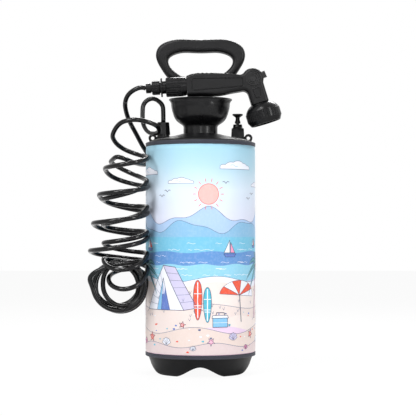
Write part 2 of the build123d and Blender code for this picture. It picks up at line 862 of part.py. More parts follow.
with BuildPart() as grip_front_shell:
    add(wand_form.part)
    split(bisect_by=wand, keep=Keep.TOP)
    add(wand_cuts.part, mode=Mode.SUBTRACT)
    # Inset panel on the side of the grip, narrower towards the hub
    with BuildSketch(wand.offset(grip_half_depth)):
        with BuildLine():
            FilletPolyline(
                (9.0, 11.5), (hub_u - 17.0, 8.2), (hub_u - 17.0, -6.2), (9.0, -9.2), radius=4, close=True
            )
        make_face()
        offset(amount=-1.2, mode=Mode.SUBTRACT)
    extrude(amount=-0.8, mode=Mode.SUBTRACT)
    # Panel down the neck
    with BuildSketch(Plane(neck * Location((0, 0, grip_half_depth)))):
        with BuildLine():
            FilletPolyline(
                (-6.5, -hub_outer + 1), (-5.0, -neck_length + 8), (5.0, -neck_length + 8),
                (6.5, -hub_outer + 1), radius=3.5, close=True
            )
        make_face()
        offset(amount=-1.2, mode=Mode.SUBTRACT)
    extrude(amount=-0.8, mode=Mode.SUBTRACT)
    # Finger scallops along the back of the grip
    with BuildSketch(wand):
        with Locations(*[(17.0 + i * scallop_pitch, 25.6 - 0.35 * i) for i in range(4)]):
            Circle(5.6)
    extrude(amount=grip_half_depth, mode=Mode.SUBTRACT)
grip_front_shell.part.label = "grip_front_shell"
export_step(grip_front_shell.part, "parts/grip_front_shell.step")

with BuildPart() as grip_back_shell:
    add(wand_form.part)
    split(bisect_by=wand, keep=Keep.BOTTOM)
    add(wand_cuts.part, mode=Mode.SUBTRACT)
    with BuildSketch(wand):
        with Locations(*[(17.0 + i * scallop_pitch, 25.6 - 0.35 * i) for i in range(4)]):
            Circle(5.6)
    extrude(amount=-grip_half_depth, mode=Mode.SUBTRACT)
grip_back_shell.part.label = "grip_back_shell"
export_step(grip_back_shell.part, "parts/grip_back_shell.step")

with BuildPart() as grip_screws:
    with BuildSketch(wand.offset(-grip_half_depth + 1.5)):
        with Locations(*screw_places):
            Circle(screw_radius)
    extrude(amount=grip_half_depth + 4)
grip_screws.part.label = "grip_screws"
export_step(grip_screws.part, "parts/grip_screws.step")


# Valve: thumb lever with its disc in the hub, the core through it, the ringed cap and the water tube
with BuildPart() as flow_lever:
    with BuildSketch(hub.offset(-lever_thickness / 2)):
        Circle(lever_radius)
        with Locations(Location((0, 0), lever_rest)):
            with Locations((lever_radius - 3, 0)):
                Rectangle(
                    lever_tab_reach - lever_radius + 3, 11.0, align=(Align.MIN, Align.CENTER)
                )
    extrude(amount=lever_thickness)
    with BuildSketch(hub.offset(-lever_thickness / 2)):
        with Locations(Location((0, 0), lever_rest)):
            with Locations(*[(lever_tab_reach + 0.5, -3.6 + 2.4 * i) for i in range(4)]):
                Circle(0.9)
    extrude(amount=lever_thickness, mode=Mode.SUBTRACT)
    with BuildSketch(hub.offset(-lever_thickness / 2)):
        Circle(core_radius)
    extrude(amount=lever_thickness, mode=Mode.SUBTRACT)
flow_lever.part.label = "flow_lever"
export_step(flow_lever.part, "parts/flow_lever.step")

with BuildPart() as valve_core:
    with BuildSketch(hub.offset(-grip_half_depth + 3.3)):
        Circle(core_radius)
    extrude(amount=2 * grip_half_depth - 6.6)
valve_core.part.label = "valve_core"
export_step(valve_core.part, "parts/valve_core.step")

with BuildPart() as hub_cap:
    with BuildSketch(hub.offset(grip_half_depth - 1.2)):
        Circle(cap_ring_radius)
    extrude(amount=cap_ring_depth)
    with BuildSketch(hub.offset(grip_half_depth - 1.2 + cap_ring_depth)):
        for ring in range(4):
            Circle(cap_ring_radius - 1.6 - 2.9 * ring)
            Circle(cap_ring_radius - 2.8 - 2.9 * ring, mode=Mode.SUBTRACT)
    extrude(amount=-0.7, mode=Mode.SUBTRACT)
hub_cap.part.label = "hub_cap"
export_step(hub_cap.part, "parts/hub_cap.step")

nipple_reach = 20.0
with BuildPart() as water_tube:
    with BuildSketch(wand):
        with Locations((nipple_reach, tube_radius - 1.3)):
            Rectangle(
                hub_u - lever_radius - 2 - nipple_reach, 1.3, align=(Align.MIN, Align.MIN)
            )
    revolve(axis=wand_axis)
    for at in (0.3, 0.7):
        with BuildSketch(wand):
            with Locations((nipple_reach + at * (hub_u - lever_radius - nipple_reach), tube_radius)):
                Rectangle(2.0, channel_radius - tube_radius, align=(Align.CENTER, Align.MIN))
        revolve(axis=wand_axis)
water_tube.part.label = "water_tube"
export_step(water_tube.part, "parts/water_tube.step")


# Inlet of the wand and the hose coupling: nipple, swivel nut, seal, coupling, clamp nut and tail
swivel_end = -nipple_flange
swivel_start = -nipple_flange - swivel_length
with BuildPart() as inlet_nipple:
    with BuildSketch(wand):
        with BuildLine():
            Polyline(
                (swivel_start + 7.0, nipple_bore),
                (swivel_start + 7.0, nipple_radius),
                (-nipple_flange, nipple_radius),
                (-nipple_flange, nipple_flange_radius),
                (0, nipple_flange_radius),
                (0, channel_radius - 0.1),
                (nipple_reach, channel_radius - 0.1),
                (nipple_reach, tube_radius - 1.3),
                (2.0, tube_radius - 1.3),
                (-2.5, nipple_bore),
                close=True,
            )
        make_face()
    revolve(axis=wand_axis)
inlet_nipple.part.label = "inlet_nipple"
export_step(inlet_nipple.part, "parts/inlet_nipple.step")

with BuildPart() as swivel_nut:
    with BuildSketch(wand):
        with BuildLine():
            Polyline(
                (swivel_start, coupling_radius + fit_gap),
                (swivel_start, swivel_radius - 1.5),
                (swivel_start + 1.5, swivel_radius),
                (swivel_end - 4.0, swivel_radius),
                (swivel_end - 4.0, swivel_radius - 0.6),
                (swivel_end, swivel_radius - 0.6),
                (swivel_end, nipple_radius + fit_gap),
                (swivel_start + 2.0, nipple_radius + fit_gap),
                (swivel_start + 2.0, coupling_radius + fit_gap),
                close=True,
            )
        make_face()
    revolve(axis=wand_axis)
    with BuildSketch(Plane(wand * Location((swivel_start - 1, 0, 0), (0, 90, 0)))):
        with PolarLocations(swivel_radius + 0.5, swivel_ribs):
            Circle(1.2)
    extrude(amount=swivel_length - 6, mode=Mode.SUBTRACT)
swivel_nut.part.label = "swivel_nut"
export_step(swivel_nut.part, "parts/swivel_nut.step")

with BuildPart() as coupling_seal:
    with BuildSketch(wand):
        with Locations((swivel_start + 12.0, nipple_bore - 1.3)):
            Circle(1.2)
    revolve(axis=wand_axis)
coupling_seal.part.label = "coupling_seal"
export_step(coupling_seal.part, "parts/coupling_seal.step")

clamp_front = swivel_start - 10.2
clamp_back = clamp_front - 13.6
tail_back = clamp_back - 10.2
with BuildPart() as hose_coupling:
    with BuildSketch(wand):
        with BuildLine():
            Polyline(
                (clamp_back + 2.0, 2.6),
                (clamp_back + 2.0, hose_radius - 0.4),
                (clamp_front + 0.2, hose_radius - 0.4),
                (clamp_front + 0.2, coupling_radius - 1.5),
                (swivel_start - 8.5, coupling_radius - 1.5),
                (swivel_start - 8.5, flange_radius),
                (swivel_start - 6.0, flange_radius),
                (swivel_start - 6.0, coupling_radius),
                (swivel_start + 2.3, coupling_radius),
                (swivel_start + 2.3, nipple_radius),
                (swivel_start + 6.7, nipple_radius),
                (swivel_start + 6.7, nipple_bore - 0.3),
                (swivel_start + 10.6, nipple_bore - 0.3),
                (swivel_start + 10.6, nipple_bore - 2.5),
                (swivel_start + 13.4, nipple_bore - 2.5),
                (swivel_start + 13.4, nipple_bore - 0.3),
                (swivel_start + 19.0, nipple_bore - 0.3),
                (swivel_start + 19.0, 2.6),
                close=True,
            )
        make_face()
    revolve(axis=wand_axis)
hose_coupling.part.label = "hose_coupling"
export_step(hose_coupling.part, "parts/hose_coupling.step")

with BuildPart() as hose_clamp_nut:
    with BuildSketch(wand):
        with BuildLine():
            Polyline(
                (clamp_back, hose_radius + 0.4),
                (clamp_back, clamp_radius - 1.5),
                (clamp_back + 1.5, clamp_radius),
                (clamp_front - 0.8, clamp_radius),
                (clamp_front, clamp_radius - 0.8),
                (clamp_front, hose_radius + 0.4),
                close=True,
            )
        make_face()
    revolve(axis=wand_axis)
    with BuildSketch(Plane(wand * Location((clamp_back - 1, 0, 0), (0, 90, 0)))):
        with PolarLocations(clamp_radius + 0.4, clamp_ribs):
            Circle(0.95)
    extrude(amount=clamp_front - clamp_back - 1, mode=Mode.SUBTRACT)
hose_clamp_nut.part.label = "hose_clamp_nut"
export_step(hose_clamp_nut.part, "parts/hose_clamp_nut.step")

with BuildPart() as hose_tail_sleeve:
    with BuildSketch(wand):
        with BuildLine():
            Polyline(
                (tail_back, 0),
                (tail_back, tail_radius - 0.8),
                (tail_back + 0.8, tail_radius),
                (clamp_back - 1.6, tail_radius),
                (clamp_back - 1.6, tail_radius - 1.6),
                (clamp_back, tail_radius - 1.6),
                (clamp_back, 3.0),
                (tail_back + 3.0, 3.0),
                (tail_back + 3.0, 0),
                close=True,
            )
        make_face()
    revolve(axis=wand_axis)
hose_tail_sleeve.part.label = "hose_tail_sleeve"
export_step(hose_tail_sleeve.part, "parts/hose_tail_sleeve.step")


# Spray head at the end of the neck: dome, gasket, nozzle face and the ribbed ring that holds it
ring_inner = face_radius + 0.3
gasket_top = head_ring_bottom - 7.2
with BuildPart() as head_back:
    with BuildSketch(neck):
        with BuildLine():
            stem_in = Line((tube_radius - 1.8, -lever_radius - 4), (tube_radius, -lever_radius - 4))
            stem_out = Line(stem_in @ 1, (tube_radius, -head_back_top))
            shelf = Line(stem_out @ 1, (13.5, -head_back_top))
            dome = Spline(
                shelf @ 1,
                (21.5, -head_back_top - 3.6),
                (head_radius - 1.2, -head_ring_top + 0.3),
                tangents=((1, -0.1), (0.4, -1)),
            )
            skirt = Line(dome @ 1, (head_radius - 1.2, -head_ring_top - 0.3))
            seat = Line(skirt @ 1, (head_radius - 3.8, -head_ring_top - 0.3))
            wall_low = Line(seat @ 1, (head_radius - 3.8, -gasket_top))
            lip = Line(wall_low @ 1, (head_radius - 6.2, -gasket_top))
            wall_in = Line(lip @ 1, (head_radius - 6.2, -head_ring_top))
            under = Spline(
                wall_in @ 1,
                (18.0, -head_back_top - 5.6),
                (tube_radius - 1.8, -head_back_top - 3.0),
                tangents=((-0.3, 1), (-1, 0)),
            )
            Line(under @ 1, stem_in @ 0)
        make_face()
    revolve(axis=neck_axis)
head_back.part.label = "head_back"
export_step(head_back.part, "parts/head_back.step")

with BuildPart() as head_gasket:
    with BuildSketch(neck):
        with Locations((face_radius - 4.0, -gasket_top)):
            Rectangle(3.4, 1.6, align=(Align.MIN, Align.MAX))
    revolve(axis=neck_axis)
head_gasket.part.label = "head_gasket"
export_step(head_gasket.part, "parts/head_gasket.step")

face_top = gasket_top + 1.7
with BuildPart() as head_face:
    with BuildSketch(Plane(neck * Location((0, -face_top, 0), (90, 0, 0)))):
        Circle(face_radius)
    extrude(amount=face_thickness)
    for ring in range(nozzle_rings):
        with BuildSketch(Plane(neck * Location((0, -face_top - face_thickness, 0), (90, 0, 0)))):
            with PolarLocations(nozzle_pitch * (ring + 1), 6 * (ring + 1)):
                Circle(nozzle_radius)
        extrude(amount=-face_thickness, mode=Mode.SUBTRACT)
head_face.part.label = "head_face"
export_step(head_face.part, "parts/head_face.step")

with BuildPart() as head_ring:
    with BuildSketch(neck):
        with BuildLine():
            Polyline(
                (head_radius - 3.5, -head_ring_top - 0.5),
                (head_radius - 0.6, -head_ring_top - 0.5),
                (head_radius, -head_ring_top - 1.3),
                (head_radius, -head_ring_bottom + 8.0),
                (head_radius - 4.4, -head_ring_bottom),
                (ring_inner - 1.6, -head_ring_bottom),
                (ring_inner - 1.6, -face_top - face_thickness - 0.05),
                (ring_inner, -face_top - face_thickness - 0.05),
                (ring_inner, -gasket_top - 0.1),
                (head_radius - 3.5, -gasket_top - 0.1),
                close=True,
            )
        make_face()
    revolve(axis=neck_axis)
    with BuildSketch(Plane(neck * Location((0, -head_ring_top, 0), (90, 0, 0)))):
        with PolarLocations(head_radius + 0.25, head_ribs):
            Circle(0.9)
    extrude(amount=head_ring_bottom - head_ring_top - 7.0, mode=Mode.SUBTRACT)
head_ring.part.label = "head_ring"
export_step(head_ring.part, "parts/head_ring.step")


# Hose: a lead from the outlet nut, a lead from the wand, the curly stretch as one fat tube and the
# bunch at its foot
outlet_route = [
    (tank_axis_x - valve_reach, 0, outlet_top),
    (tank_axis_x - valve_reach, 0, outlet_top + 16),
    (tank_axis_x - 65, 1, 462),
    (tank_axis_x - 82, 2, 474),
    (tank_axis_x - 99, 1, 464),
    (tank_axis_x - 100, -1, 444),
    (tank_axis_x - 99, -6, 427),
    (tank_axis_x - 91, -18, 413),
    (tank_axis_x - 79, -34, 407),
    (tank_axis_x - 69, -50, 410),
    (tank_axis_x - 70, -65, 418),
    (tank_axis_x - 84, -75, 424),
    (tank_axis_x - 101, -80, 428),
    (tank_axis_x - 118, -79, 428),
    (tank_axis_x - 136, -71, 423),
    (tank_axis_x - 149, -53, 405),
    (tank_axis_x - 144, -30, 391),
    (tank_axis_x - 128, -14, 384),
    (tank_axis_x - 109, -15, 378),
    (tank_axis_x - 93, -32, 373),
    (tank_axis_x - 87, -58, 368),
    (tank_axis_x - 98, -80, 364),
    (tank_axis_x - 117, -80, 362),
    (tank_axis_x - 117, -80, coil_top),
]
tail = wand.from_local_coords((tail_back, 0, 0))
tail_out = wand.from_local_coords((tail_back - 10.0, 0, 0))
wand_route = [
    (tail.X, tail.Y, tail.Z),
    (tail_out.X, tail_out.Y, tail_out.Z),
    (tank_axis_x - 108, -30, 486),
    (tank_axis_x - 123, -25, 477),
    (tank_axis_x - 130, -14, 463),
    (tank_axis_x - 128, 2, 446),
    (tank_axis_x - 122, 16, 430),
    (tank_axis_x - 112, 28, 412),
    (tank_axis_x - 102, 40, 392),
    (tank_axis_x - 90, 52, 374),
    (tank_axis_x - 92, 43, 361),
    (tank_axis_x - 101, 22, 358),
    (tank_axis_x - 109, -5, 359),
    (tank_axis_x - 118, -30, 361),
    (tank_axis_x - 130, -46, 366),
    (tank_axis_x - 146, -52, 366),
    (tank_axis_x - 146, -52, coil_top),
]


def route_radii(points):
    radii = []
    for before, here, after in zip(points, points[1:], points[2:]):
        first = Vector(*here) - Vector(*before)
        second = Vector(*after) - Vector(*here)
        half_turn = math.radians(first.get_angle(second)) / 2
        radii.append(0.45 * min(first.length, second.length) / math.tan(half_turn))
    return radii


for lead_name, route in (("hose_outlet_lead", outlet_route), ("hose_wand_lead", wand_route)):
    radii = route_radii(route)
    with BuildPart() as lead:
        with BuildLine() as lead_line:
            FilletPolyline(*route, radius=radii)
        start = lead_line.wires()[0]
        with BuildSketch(Plane(origin=start @ 0, z_dir=start % 0)):
            Circle(hose_radius)
        sweep(path=start)
    lead.part.label = lead_name
    export_step(lead.part, "parts/" + lead_name + ".step")
    print(lead_name, "radii", [round(r, 1) for r in radii], "length", round(start.length, 1))
    print("  volume over section times length", lead.part.volume / (start.length * math.pi * hose_radius**2))

bunch_top = bunch_height + bunch_radius + bunch_half_width
coil_bottom = bunch_top + fit_gap
with BuildPart() as hose_coil:
    with BuildSketch(Plane(origin=(tank_axis_x + coil_x, coil_y, 0), x_dir=(1, 0, 0), z_dir=(0, -1, 0))):
        with BuildLine():
            Polyline(
                (0, coil_bottom),
                (coil_bottom_radius, coil_bottom),
                (coil_top_radius, coil_top),
                (0, coil_top),
                (0, coil_top - coil_wall),
                (coil_top_radius - coil_wall, coil_top - coil_wall),
                (coil_bottom_radius - coil_wall, coil_bottom + coil_wall),
                (0, coil_bottom + coil_wall),
                close=True,
            )
        make_face()
    revolve(axis=Axis((tank_axis_x + coil_x, coil_y, 0), (0, 0, 1)))
hose_coil.part.label = "hose_coil"
export_step(hose_coil.part, "parts/hose_coil.step")

with BuildPart() as hose_bunch:
    with BuildSketch(
        Plane(origin=(tank_axis_x + bunch_x + bunch_radius, bunch_y, bunch_height), z_dir=(0, 0, 1))
    ):
        Ellipse(bunch_half_width, bunch_half_depth)
        Ellipse(bunch_half_width - bunch_wall, bunch_half_depth - bunch_wall, mode=Mode.SUBTRACT)
    revolve(axis=Axis((tank_axis_x + bunch_x, bunch_y, bunch_height), (0, 1, 0)))
hose_bunch.part.label = "hose_bunch"
export_step(hose_bunch.part, "parts/hose_bunch.step")
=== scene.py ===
import json
import math
import random
import bpy
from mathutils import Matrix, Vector
from mathutils.geometry import tessellate_polygon


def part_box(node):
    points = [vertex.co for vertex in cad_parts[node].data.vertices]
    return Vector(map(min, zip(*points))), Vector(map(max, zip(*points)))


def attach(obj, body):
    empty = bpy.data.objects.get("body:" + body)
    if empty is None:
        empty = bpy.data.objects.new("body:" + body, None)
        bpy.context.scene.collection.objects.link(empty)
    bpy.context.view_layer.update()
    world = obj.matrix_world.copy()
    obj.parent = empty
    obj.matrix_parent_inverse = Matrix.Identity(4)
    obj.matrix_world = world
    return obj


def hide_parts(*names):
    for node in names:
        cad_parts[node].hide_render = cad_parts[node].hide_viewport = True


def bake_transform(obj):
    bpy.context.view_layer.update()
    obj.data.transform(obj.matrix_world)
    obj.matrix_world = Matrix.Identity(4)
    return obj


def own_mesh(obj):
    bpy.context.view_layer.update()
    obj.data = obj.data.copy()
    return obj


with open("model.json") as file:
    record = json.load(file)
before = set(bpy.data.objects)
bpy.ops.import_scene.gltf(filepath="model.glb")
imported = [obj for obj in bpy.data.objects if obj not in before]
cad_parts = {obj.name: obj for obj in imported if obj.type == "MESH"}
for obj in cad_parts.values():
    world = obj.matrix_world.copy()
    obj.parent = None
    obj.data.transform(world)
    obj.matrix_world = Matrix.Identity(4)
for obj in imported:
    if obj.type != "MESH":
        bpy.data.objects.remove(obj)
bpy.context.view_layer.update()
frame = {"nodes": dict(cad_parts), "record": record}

bpy.ops.object.select_all(action="DESELECT")
tankAxisX = -0.0217    # the tank stands this far to the left of the origin
millimetre = 0.001


class Wire:
    def __init__(self, finish, socket):
        self.finish = finish
        self.socket = socket

    def maths(self, operation, first, second=0.5):
        return self.finish.node("ShaderNodeMath", {"operation": operation}, {0: first, 1: second})

    def __add__(self, other):
        return self.maths("ADD", self, other)

    def __radd__(self, other):
        return self.maths("ADD", other, self)

    def __sub__(self, other):
        return self.maths("SUBTRACT", self, other)

    def __rsub__(self, other):
        return self.maths("SUBTRACT", other, self)

    def __mul__(self, other):
        return self.maths("MULTIPLY", self, other)

    def __rmul__(self, other):
        return self.maths("MULTIPLY", other, self)


class Finish:
    def __init__(self, name, colour, roughness, **fixed):
        self.material = bpy.data.materials.new(name)
        self.material.use_nodes = True
        self.tree = self.material.node_tree
        self.shader = self.tree.nodes["Principled BSDF"]
        self.shader.inputs["Base Color"].default_value = (*colour, 1)
        self.shader.inputs["Roughness"].default_value = roughness
        for socketName, value in fixed.items():
            self.shader.inputs[socketName.replace("_", " ")].default_value = value

    def node(self, kind, settings=None, inputs=None, output=0):
        made = self.tree.nodes.new(kind)
        for name, value in (settings or {}).items():
            if name == "stops":
                ramp = made.color_ramp
                while len(ramp.elements) < len(value):
                    ramp.elements.new(0.5)
                for element, (place, colour) in zip(ramp.elements, value):
                    element.position = place
                    element.color = (*colour, 1)
            else:
                setattr(made, name, value)
        for name, value in (inputs or {}).items():
            if isinstance(value, Wire):
                self.tree.links.new(value.socket, made.inputs[name])
            else:
                made.inputs[name].default_value = value
        return Wire(self, made.outputs[output])

    def place(self, output="Object"):
        return self.node("ShaderNodeTexCoord", output=output)

    def noise(self, scale, detail=3.0, roughness=0.5, where=None):
        return self.node(
            "ShaderNodeTexNoise", {},
            {"Vector": where or self.place(), "Scale": scale, "Detail": detail, "Roughness": roughness},
        )

    def mixed(self, factor, first, second):
        return self.node(
            "ShaderNodeMix", {"data_type": "RGBA"}, {0: factor, 6: first, 7: second}, output=2
        )

    def ranged(self, value, low, high, toLow, toHigh):
        return self.node(
            "ShaderNodeMapRange", {}, {"Value": value, 1: low, 2: high, 3: toLow, 4: toHigh}
        )

    def feed(self, socketName, wire):
        self.tree.links.new(wire.socket, self.shader.inputs[socketName])

    def bump(self, height, distance, strength=1.0):
        made = self.node(
            "ShaderNodeBump", {}, {"Height": height, "Distance": distance, "Strength": strength}
        )
        self.feed("Normal", made)


def mouldedPlastic(name, colour, roughness, grain, grainDepth, coat=0.0):
    finish = Finish(name, colour, roughness, Coat_Weight=coat, Coat_Roughness=0.08, Specular_IOR_Level=0.2)
    fine = finish.noise(grain, 2.0, 0.6)
    broad = finish.noise(38.0, 3.0, 0.55)
    dust = finish.noise(210.0, 4.0, 0.7)
    lighter = [min(1.0, c * 1.5 + 0.001) for c in colour]
    patches = finish.ranged(broad, 0.35, 0.7, 0.0, 1.0)
    dusty = finish.ranged(dust, 0.45, 0.75, 0.0, 1.0)
    finish.feed("Base Color", finish.mixed(patches, (*colour, 1), (*lighter, 1)))
    finish.feed("Roughness", roughness - 0.05 + 0.07 * broad + 0.05 * dusty)
    finish.bump(fine + broad * 0.4, grainDepth, 0.6)
    return finish.material


def brushedMetal(name, colour, roughness):
    finish = Finish(name, colour, roughness, Metallic=1.0)
    stretched = finish.node("ShaderNodeMapping", {}, {"Vector": finish.place(), "Scale": (900.0, 900.0, 40.0)})
    lines = finish.noise(1.0, 2.0, 0.5, stretched)
    finish.feed("Roughness", roughness - 0.06 + 0.14 * lines)
    finish.bump(lines, 0.00003, 0.5)
    return finish.material


def printFabric(name, stops):
    finish = Finish(name, (0.7, 0.84, 0.9), 0.62, Sheen_Weight=0.25, Sheen_Roughness=0.4)
    where = finish.node("ShaderNodeUVMap", {"uv_map": "UVMap"})
    height = finish.node("ShaderNodeSeparateXYZ", {}, {0: where}, output=1)
    drift = finish.noise(14.0, 3.0, 0.5)
    colour = finish.node("ShaderNodeValToRGB", {"stops": stops}, {"Fac": height + 0.05 * (drift - 0.5)})
    mottle = finish.noise(260.0, 3.0, 0.6)
    faded = finish.ranged(mottle, 0.4, 0.8, 0.0, 0.08)
    finish.feed("Base Color", finish.mixed(faded, colour, (0.62, 0.7, 0.8, 1)))
    finish.feed("Roughness", 0.52 + 0.14 * mottle)
    knit = finish.node("ShaderNodeTexVoronoi", {}, {"Vector": finish.place(), "Scale": 1100.0})
    finish.bump(knit + 0.6 * finish.noise(70.0, 3.0, 0.5), 0.00012, 0.45)
    return finish.material


def inkFabric(name):
    finish = Finish(name, (0.5, 0.5, 0.6), 0.6, Sheen_Weight=0.2, Sheen_Roughness=0.4)
    ink = finish.node("ShaderNodeAttribute", {"attribute_name": "ink"})
    mottle = finish.noise(240.0, 3.0, 0.6)
    faded = finish.ranged(mottle, 0.45, 0.8, 0.0, 0.12)
    finish.feed("Base Color", finish.mixed(faded, ink, (0.9, 0.92, 0.97, 1)))
    finish.feed("Roughness", 0.5 + 0.16 * mottle)
    knit = finish.node("ShaderNodeTexVoronoi", {}, {"Vector": finish.place(), "Scale": 1100.0})
    finish.bump(knit, 0.0001, 0.4)
    return finish.material


def wovenTape(name):
    finish = Finish(name, (0.012, 0.013, 0.022), 0.75, Sheen_Weight=0.1, Sheen_Roughness=0.5)
    around = finish.node("ShaderNodeTexWave", {"wave_type": "BANDS", "bands_direction": "Z"}, {
        "Vector": finish.place(), "Scale": 420.0, "Distortion": 0.6})
    fibre = finish.noise(1400.0, 3.0, 0.6)
    ribs = finish.ranged(around + 0.5 * fibre, 0.3, 1.2, 0.0, 1.0)
    finish.feed("Base Color", finish.mixed(ribs, (0.008, 0.009, 0.016, 1), (0.035, 0.038, 0.06, 1)))
    finish.feed("Roughness", 0.66 + 0.16 * fibre)
    finish.bump(around + 0.4 * fibre, 0.0002, 0.6)
    return finish.material


def pigment(colour):
    return tuple(part ** 2.2 for part in colour)    # screen colour to the light it stands for


skyStops = [
    (0.00, (0.90, 0.72, 0.84)),
    (0.12, (0.90, 0.80, 0.90)),
    (0.30, (0.80, 0.80, 0.93)),
    (0.45, (0.68, 0.78, 0.93)),
    (0.62, (0.86, 0.87, 0.95)),
    (0.78, (0.84, 0.90, 0.96)),
    (0.90, (0.68, 0.83, 0.90)),
    (1.00, (0.60, 0.79, 0.87)),
]
black = (0.003, 0.003, 0.0035)
softBlack = (0.004, 0.004, 0.0045)
hoseBlack = (0.002, 0.002, 0.0025)
rubber = (0.02, 0.02, 0.02)
ivory = (0.78, 0.78, 0.75)
plastics = {    # name, colour, roughness, grain, depth of the grain in metres, coat
    "tank_black": ("tankBlack", black, 0.4, 900.0, 0.00008),
    "funnel_gloss": ("funnelGloss", black, 0.3, 500.0, 0.00002, 0.12),
    "fitting_black": ("fittingBlack", black, 0.3, 1200.0, 0.00005),
    "handle_matte": ("handleMatte", softBlack, 0.4, 1500.0, 0.00009),
    "wand_textured": ("wandTextured", softBlack, 0.38, 1700.0, 0.0001),
    "wand_smooth": ("wandSmooth", black, 0.26, 1200.0, 0.00004),
    "inner_plastic": ("innerPlastic", ivory, 0.4, 700.0, 0.00004),
    "seal_rubber": ("sealRubber", rubber, 0.7, 900.0, 0.00006),
    "hose_gloss": ("hoseGloss", hoseBlack, 0.13, 160.0, 0.00002, 0.2),
}
finishes = {slot: mouldedPlastic(*values) for slot, values in plastics.items()}
finishes["spring_steel"] = brushedMetal("springSteel", (0.6, 0.6, 0.62), 0.28)
finishes["rod_metal"] = brushedMetal("rodMetal", (0.75, 0.76, 0.78), 0.3)
finishes["sleeve_print"] = printFabric(
    "sleevePrint", [(place, pigment(colour)) for place, colour in skyStops]
)
finishes["sleeve_binding"] = wovenTape("sleeveBinding")
printInk = inkFabric("printInk")
for part in frame["record"]["subparts"]:
    solid = frame["nodes"][part["node"]]
    solid.data.materials.clear()
    solid.data.materials.append(finishes[part["material_slot"]])
print("finishes on", len(frame["nodes"]), "nodes")


def newMesh(name, points, edges=(), faces=()):
    shape = bpy.data.meshes.new(name)
    shape.from_pydata([tuple(p) for p in points], list(edges), list(faces))
    made = bpy.data.objects.new(name, shape)
    bpy.context.collection.objects.link(made)
    return made


def lathed(name, profile, segments, material):
    points = [(tankAxisX + r * millimetre, 0, z * millimetre) for r, z in profile]
    made = newMesh(name, points, [(i, i + 1) for i in range(len(points) - 1)])
    bpy.context.view_layer.objects.active = made
    made.select_set(True)
    bpy.ops.object.mode_set(mode="EDIT")
    bpy.ops.mesh.select_all(action="SELECT")
    bpy.ops.mesh.spin(steps=segments, angle=2 * math.pi, center=(tankAxisX, 0, 0), axis=(0, 0, 1))
    bpy.ops.mesh.select_all(action="SELECT")
    bpy.ops.mesh.remove_doubles(threshold=0.00002)
    bpy.ops.mesh.normals_make_consistent(inside=False)
    bpy.ops.object.mode_set(mode="OBJECT")
    bpy.ops.object.shade_smooth()
    made.select_set(False)
    made.data.materials.append(material)
    return made


hose = {
    "radius": 4.0,
    "sides": 14,
    "curlGrow": 1.014,    # the spline cuts inside its points by this much
    "ringGrow": 1.02,
    "pointsPerHalfTurn": 8,
    "pointsPerTurn": 14,
    "dropPower": 2.2,
    "downDepth": 44,
    "downSags": (2, 1),
    "lowestDepth": -56,
    "order": 3,
    "resolution": 7,
    "closest": 0.0004,
    "risers": 4,
    "riserLength": 205.0,
    "riserHold": 0.16,    # share at each end of a riser that stays with its body
}
outletLead = [
    (-64, 0, 430.2), (-64, 0, 446.2), (-65, 1, 462), (-82, 2, 474), (-99, 1, 464), (-100, -1, 444),
    (-99, -6, 427), (-91, -18, 413), (-79, -34, 407), (-69, -50, 410), (-70, -65, 418), (-84, -75, 424),
    (-101, -80, 428), (-118, -79, 428), (-136, -71, 423), (-149, -53, 405),
]
wandLead = [
    (-91, -42, 329), (-100, -18, 334), (-119, -2, 342), (-140, 0, 352), (-155, -9, 361), (-150, -28, 364),
    (-142, -44, 369), (-130, -46, 366), (-118, -30, 361), (-109, -5, 359), (-101, 22, 358), (-92, 43, 361),
    (-90, 52, 374), (-102, 40, 392), (-112, 28, 412), (-122, 16, 430), (-128, 2, 446), (-130, -14, 463),
    (-123, -25, 477), (-108, -30, 486), (-97, -30.5, 487.5), (-92.6, -30.5, 485.3),
]
downCurls = [
    (-148, 404, -53), (-86, 367, -62), (-160, 348, -54), (-88, 317, -57), (-170, 304, -54),
    (-88, 274, -57), (-180, 256, -54), (-88, 233, -57), (-185, 210, -54), (-89, 192, -57),
]    # left and right ends of the strand that goes down: across, height, depth
upCurls = [
    (-154, 166, -58), (-88.5, 180, -58), (-162, 197, -58), (-89, 206, -58), (-162, 223, -58),
    (-89, 242, -58), (-163, 254, -58), (-89, 284, -58), (-163, 296, -58), (-90, 327, -56),
]    # the same for the strand that comes back up
upSags = [-22, 8, -20, 0, 1, 0, 1, 0, 1]
upDepths = [36, 31, 36, 31, 31, 31, 31, 31, 31]
intoBunch = [
    (-97, -69, 192), (-116, -75, 190.5), (-140, -76, 187),
    (-160, -76, 181.5), (-177, -74, 174), (-185.5, -71, 164),
]
outOfBunch = [(-92.5, -33, 164), (-98.5, -25, 175), (-116, -19, 178), (-136, -19, 177), (-148, -29, 172)]
bunchCentre = (-136, 150)
bunchTurns = [
    (0, 0, 43.3, -67), (8, 5.5, 35, -58.6), (-2, 0, 42, -50.2),
    (-10, 4, 33.5, -41.8), (1, -1, 42.3, -33.4), (1, -1, 42.3, -33.4),
]    # each turn's shift across and up, radius and depth


def halfTurn(begin, finish, side, depth, sag, goingDown):
    count = hose["pointsPerHalfTurn"]
    points = []
    for step in range(1, count + 1):
        share = step / count
        angle = math.pi * share
        drop = 1 - (1 - share) ** hose["dropPower"] if goingDown else share ** hose["dropPower"]
        points.append((
            (begin[0] + finish[0]) / 2 + hose["curlGrow"] * (begin[0] - finish[0]) / 2 * math.cos(angle),
            begin[2] + (finish[2] - begin[2]) * share + side * hose["curlGrow"] * depth * math.sin(angle),
            begin[1] + (finish[1] - begin[1]) * drop + sag * math.sin(angle),
        ))
    return points


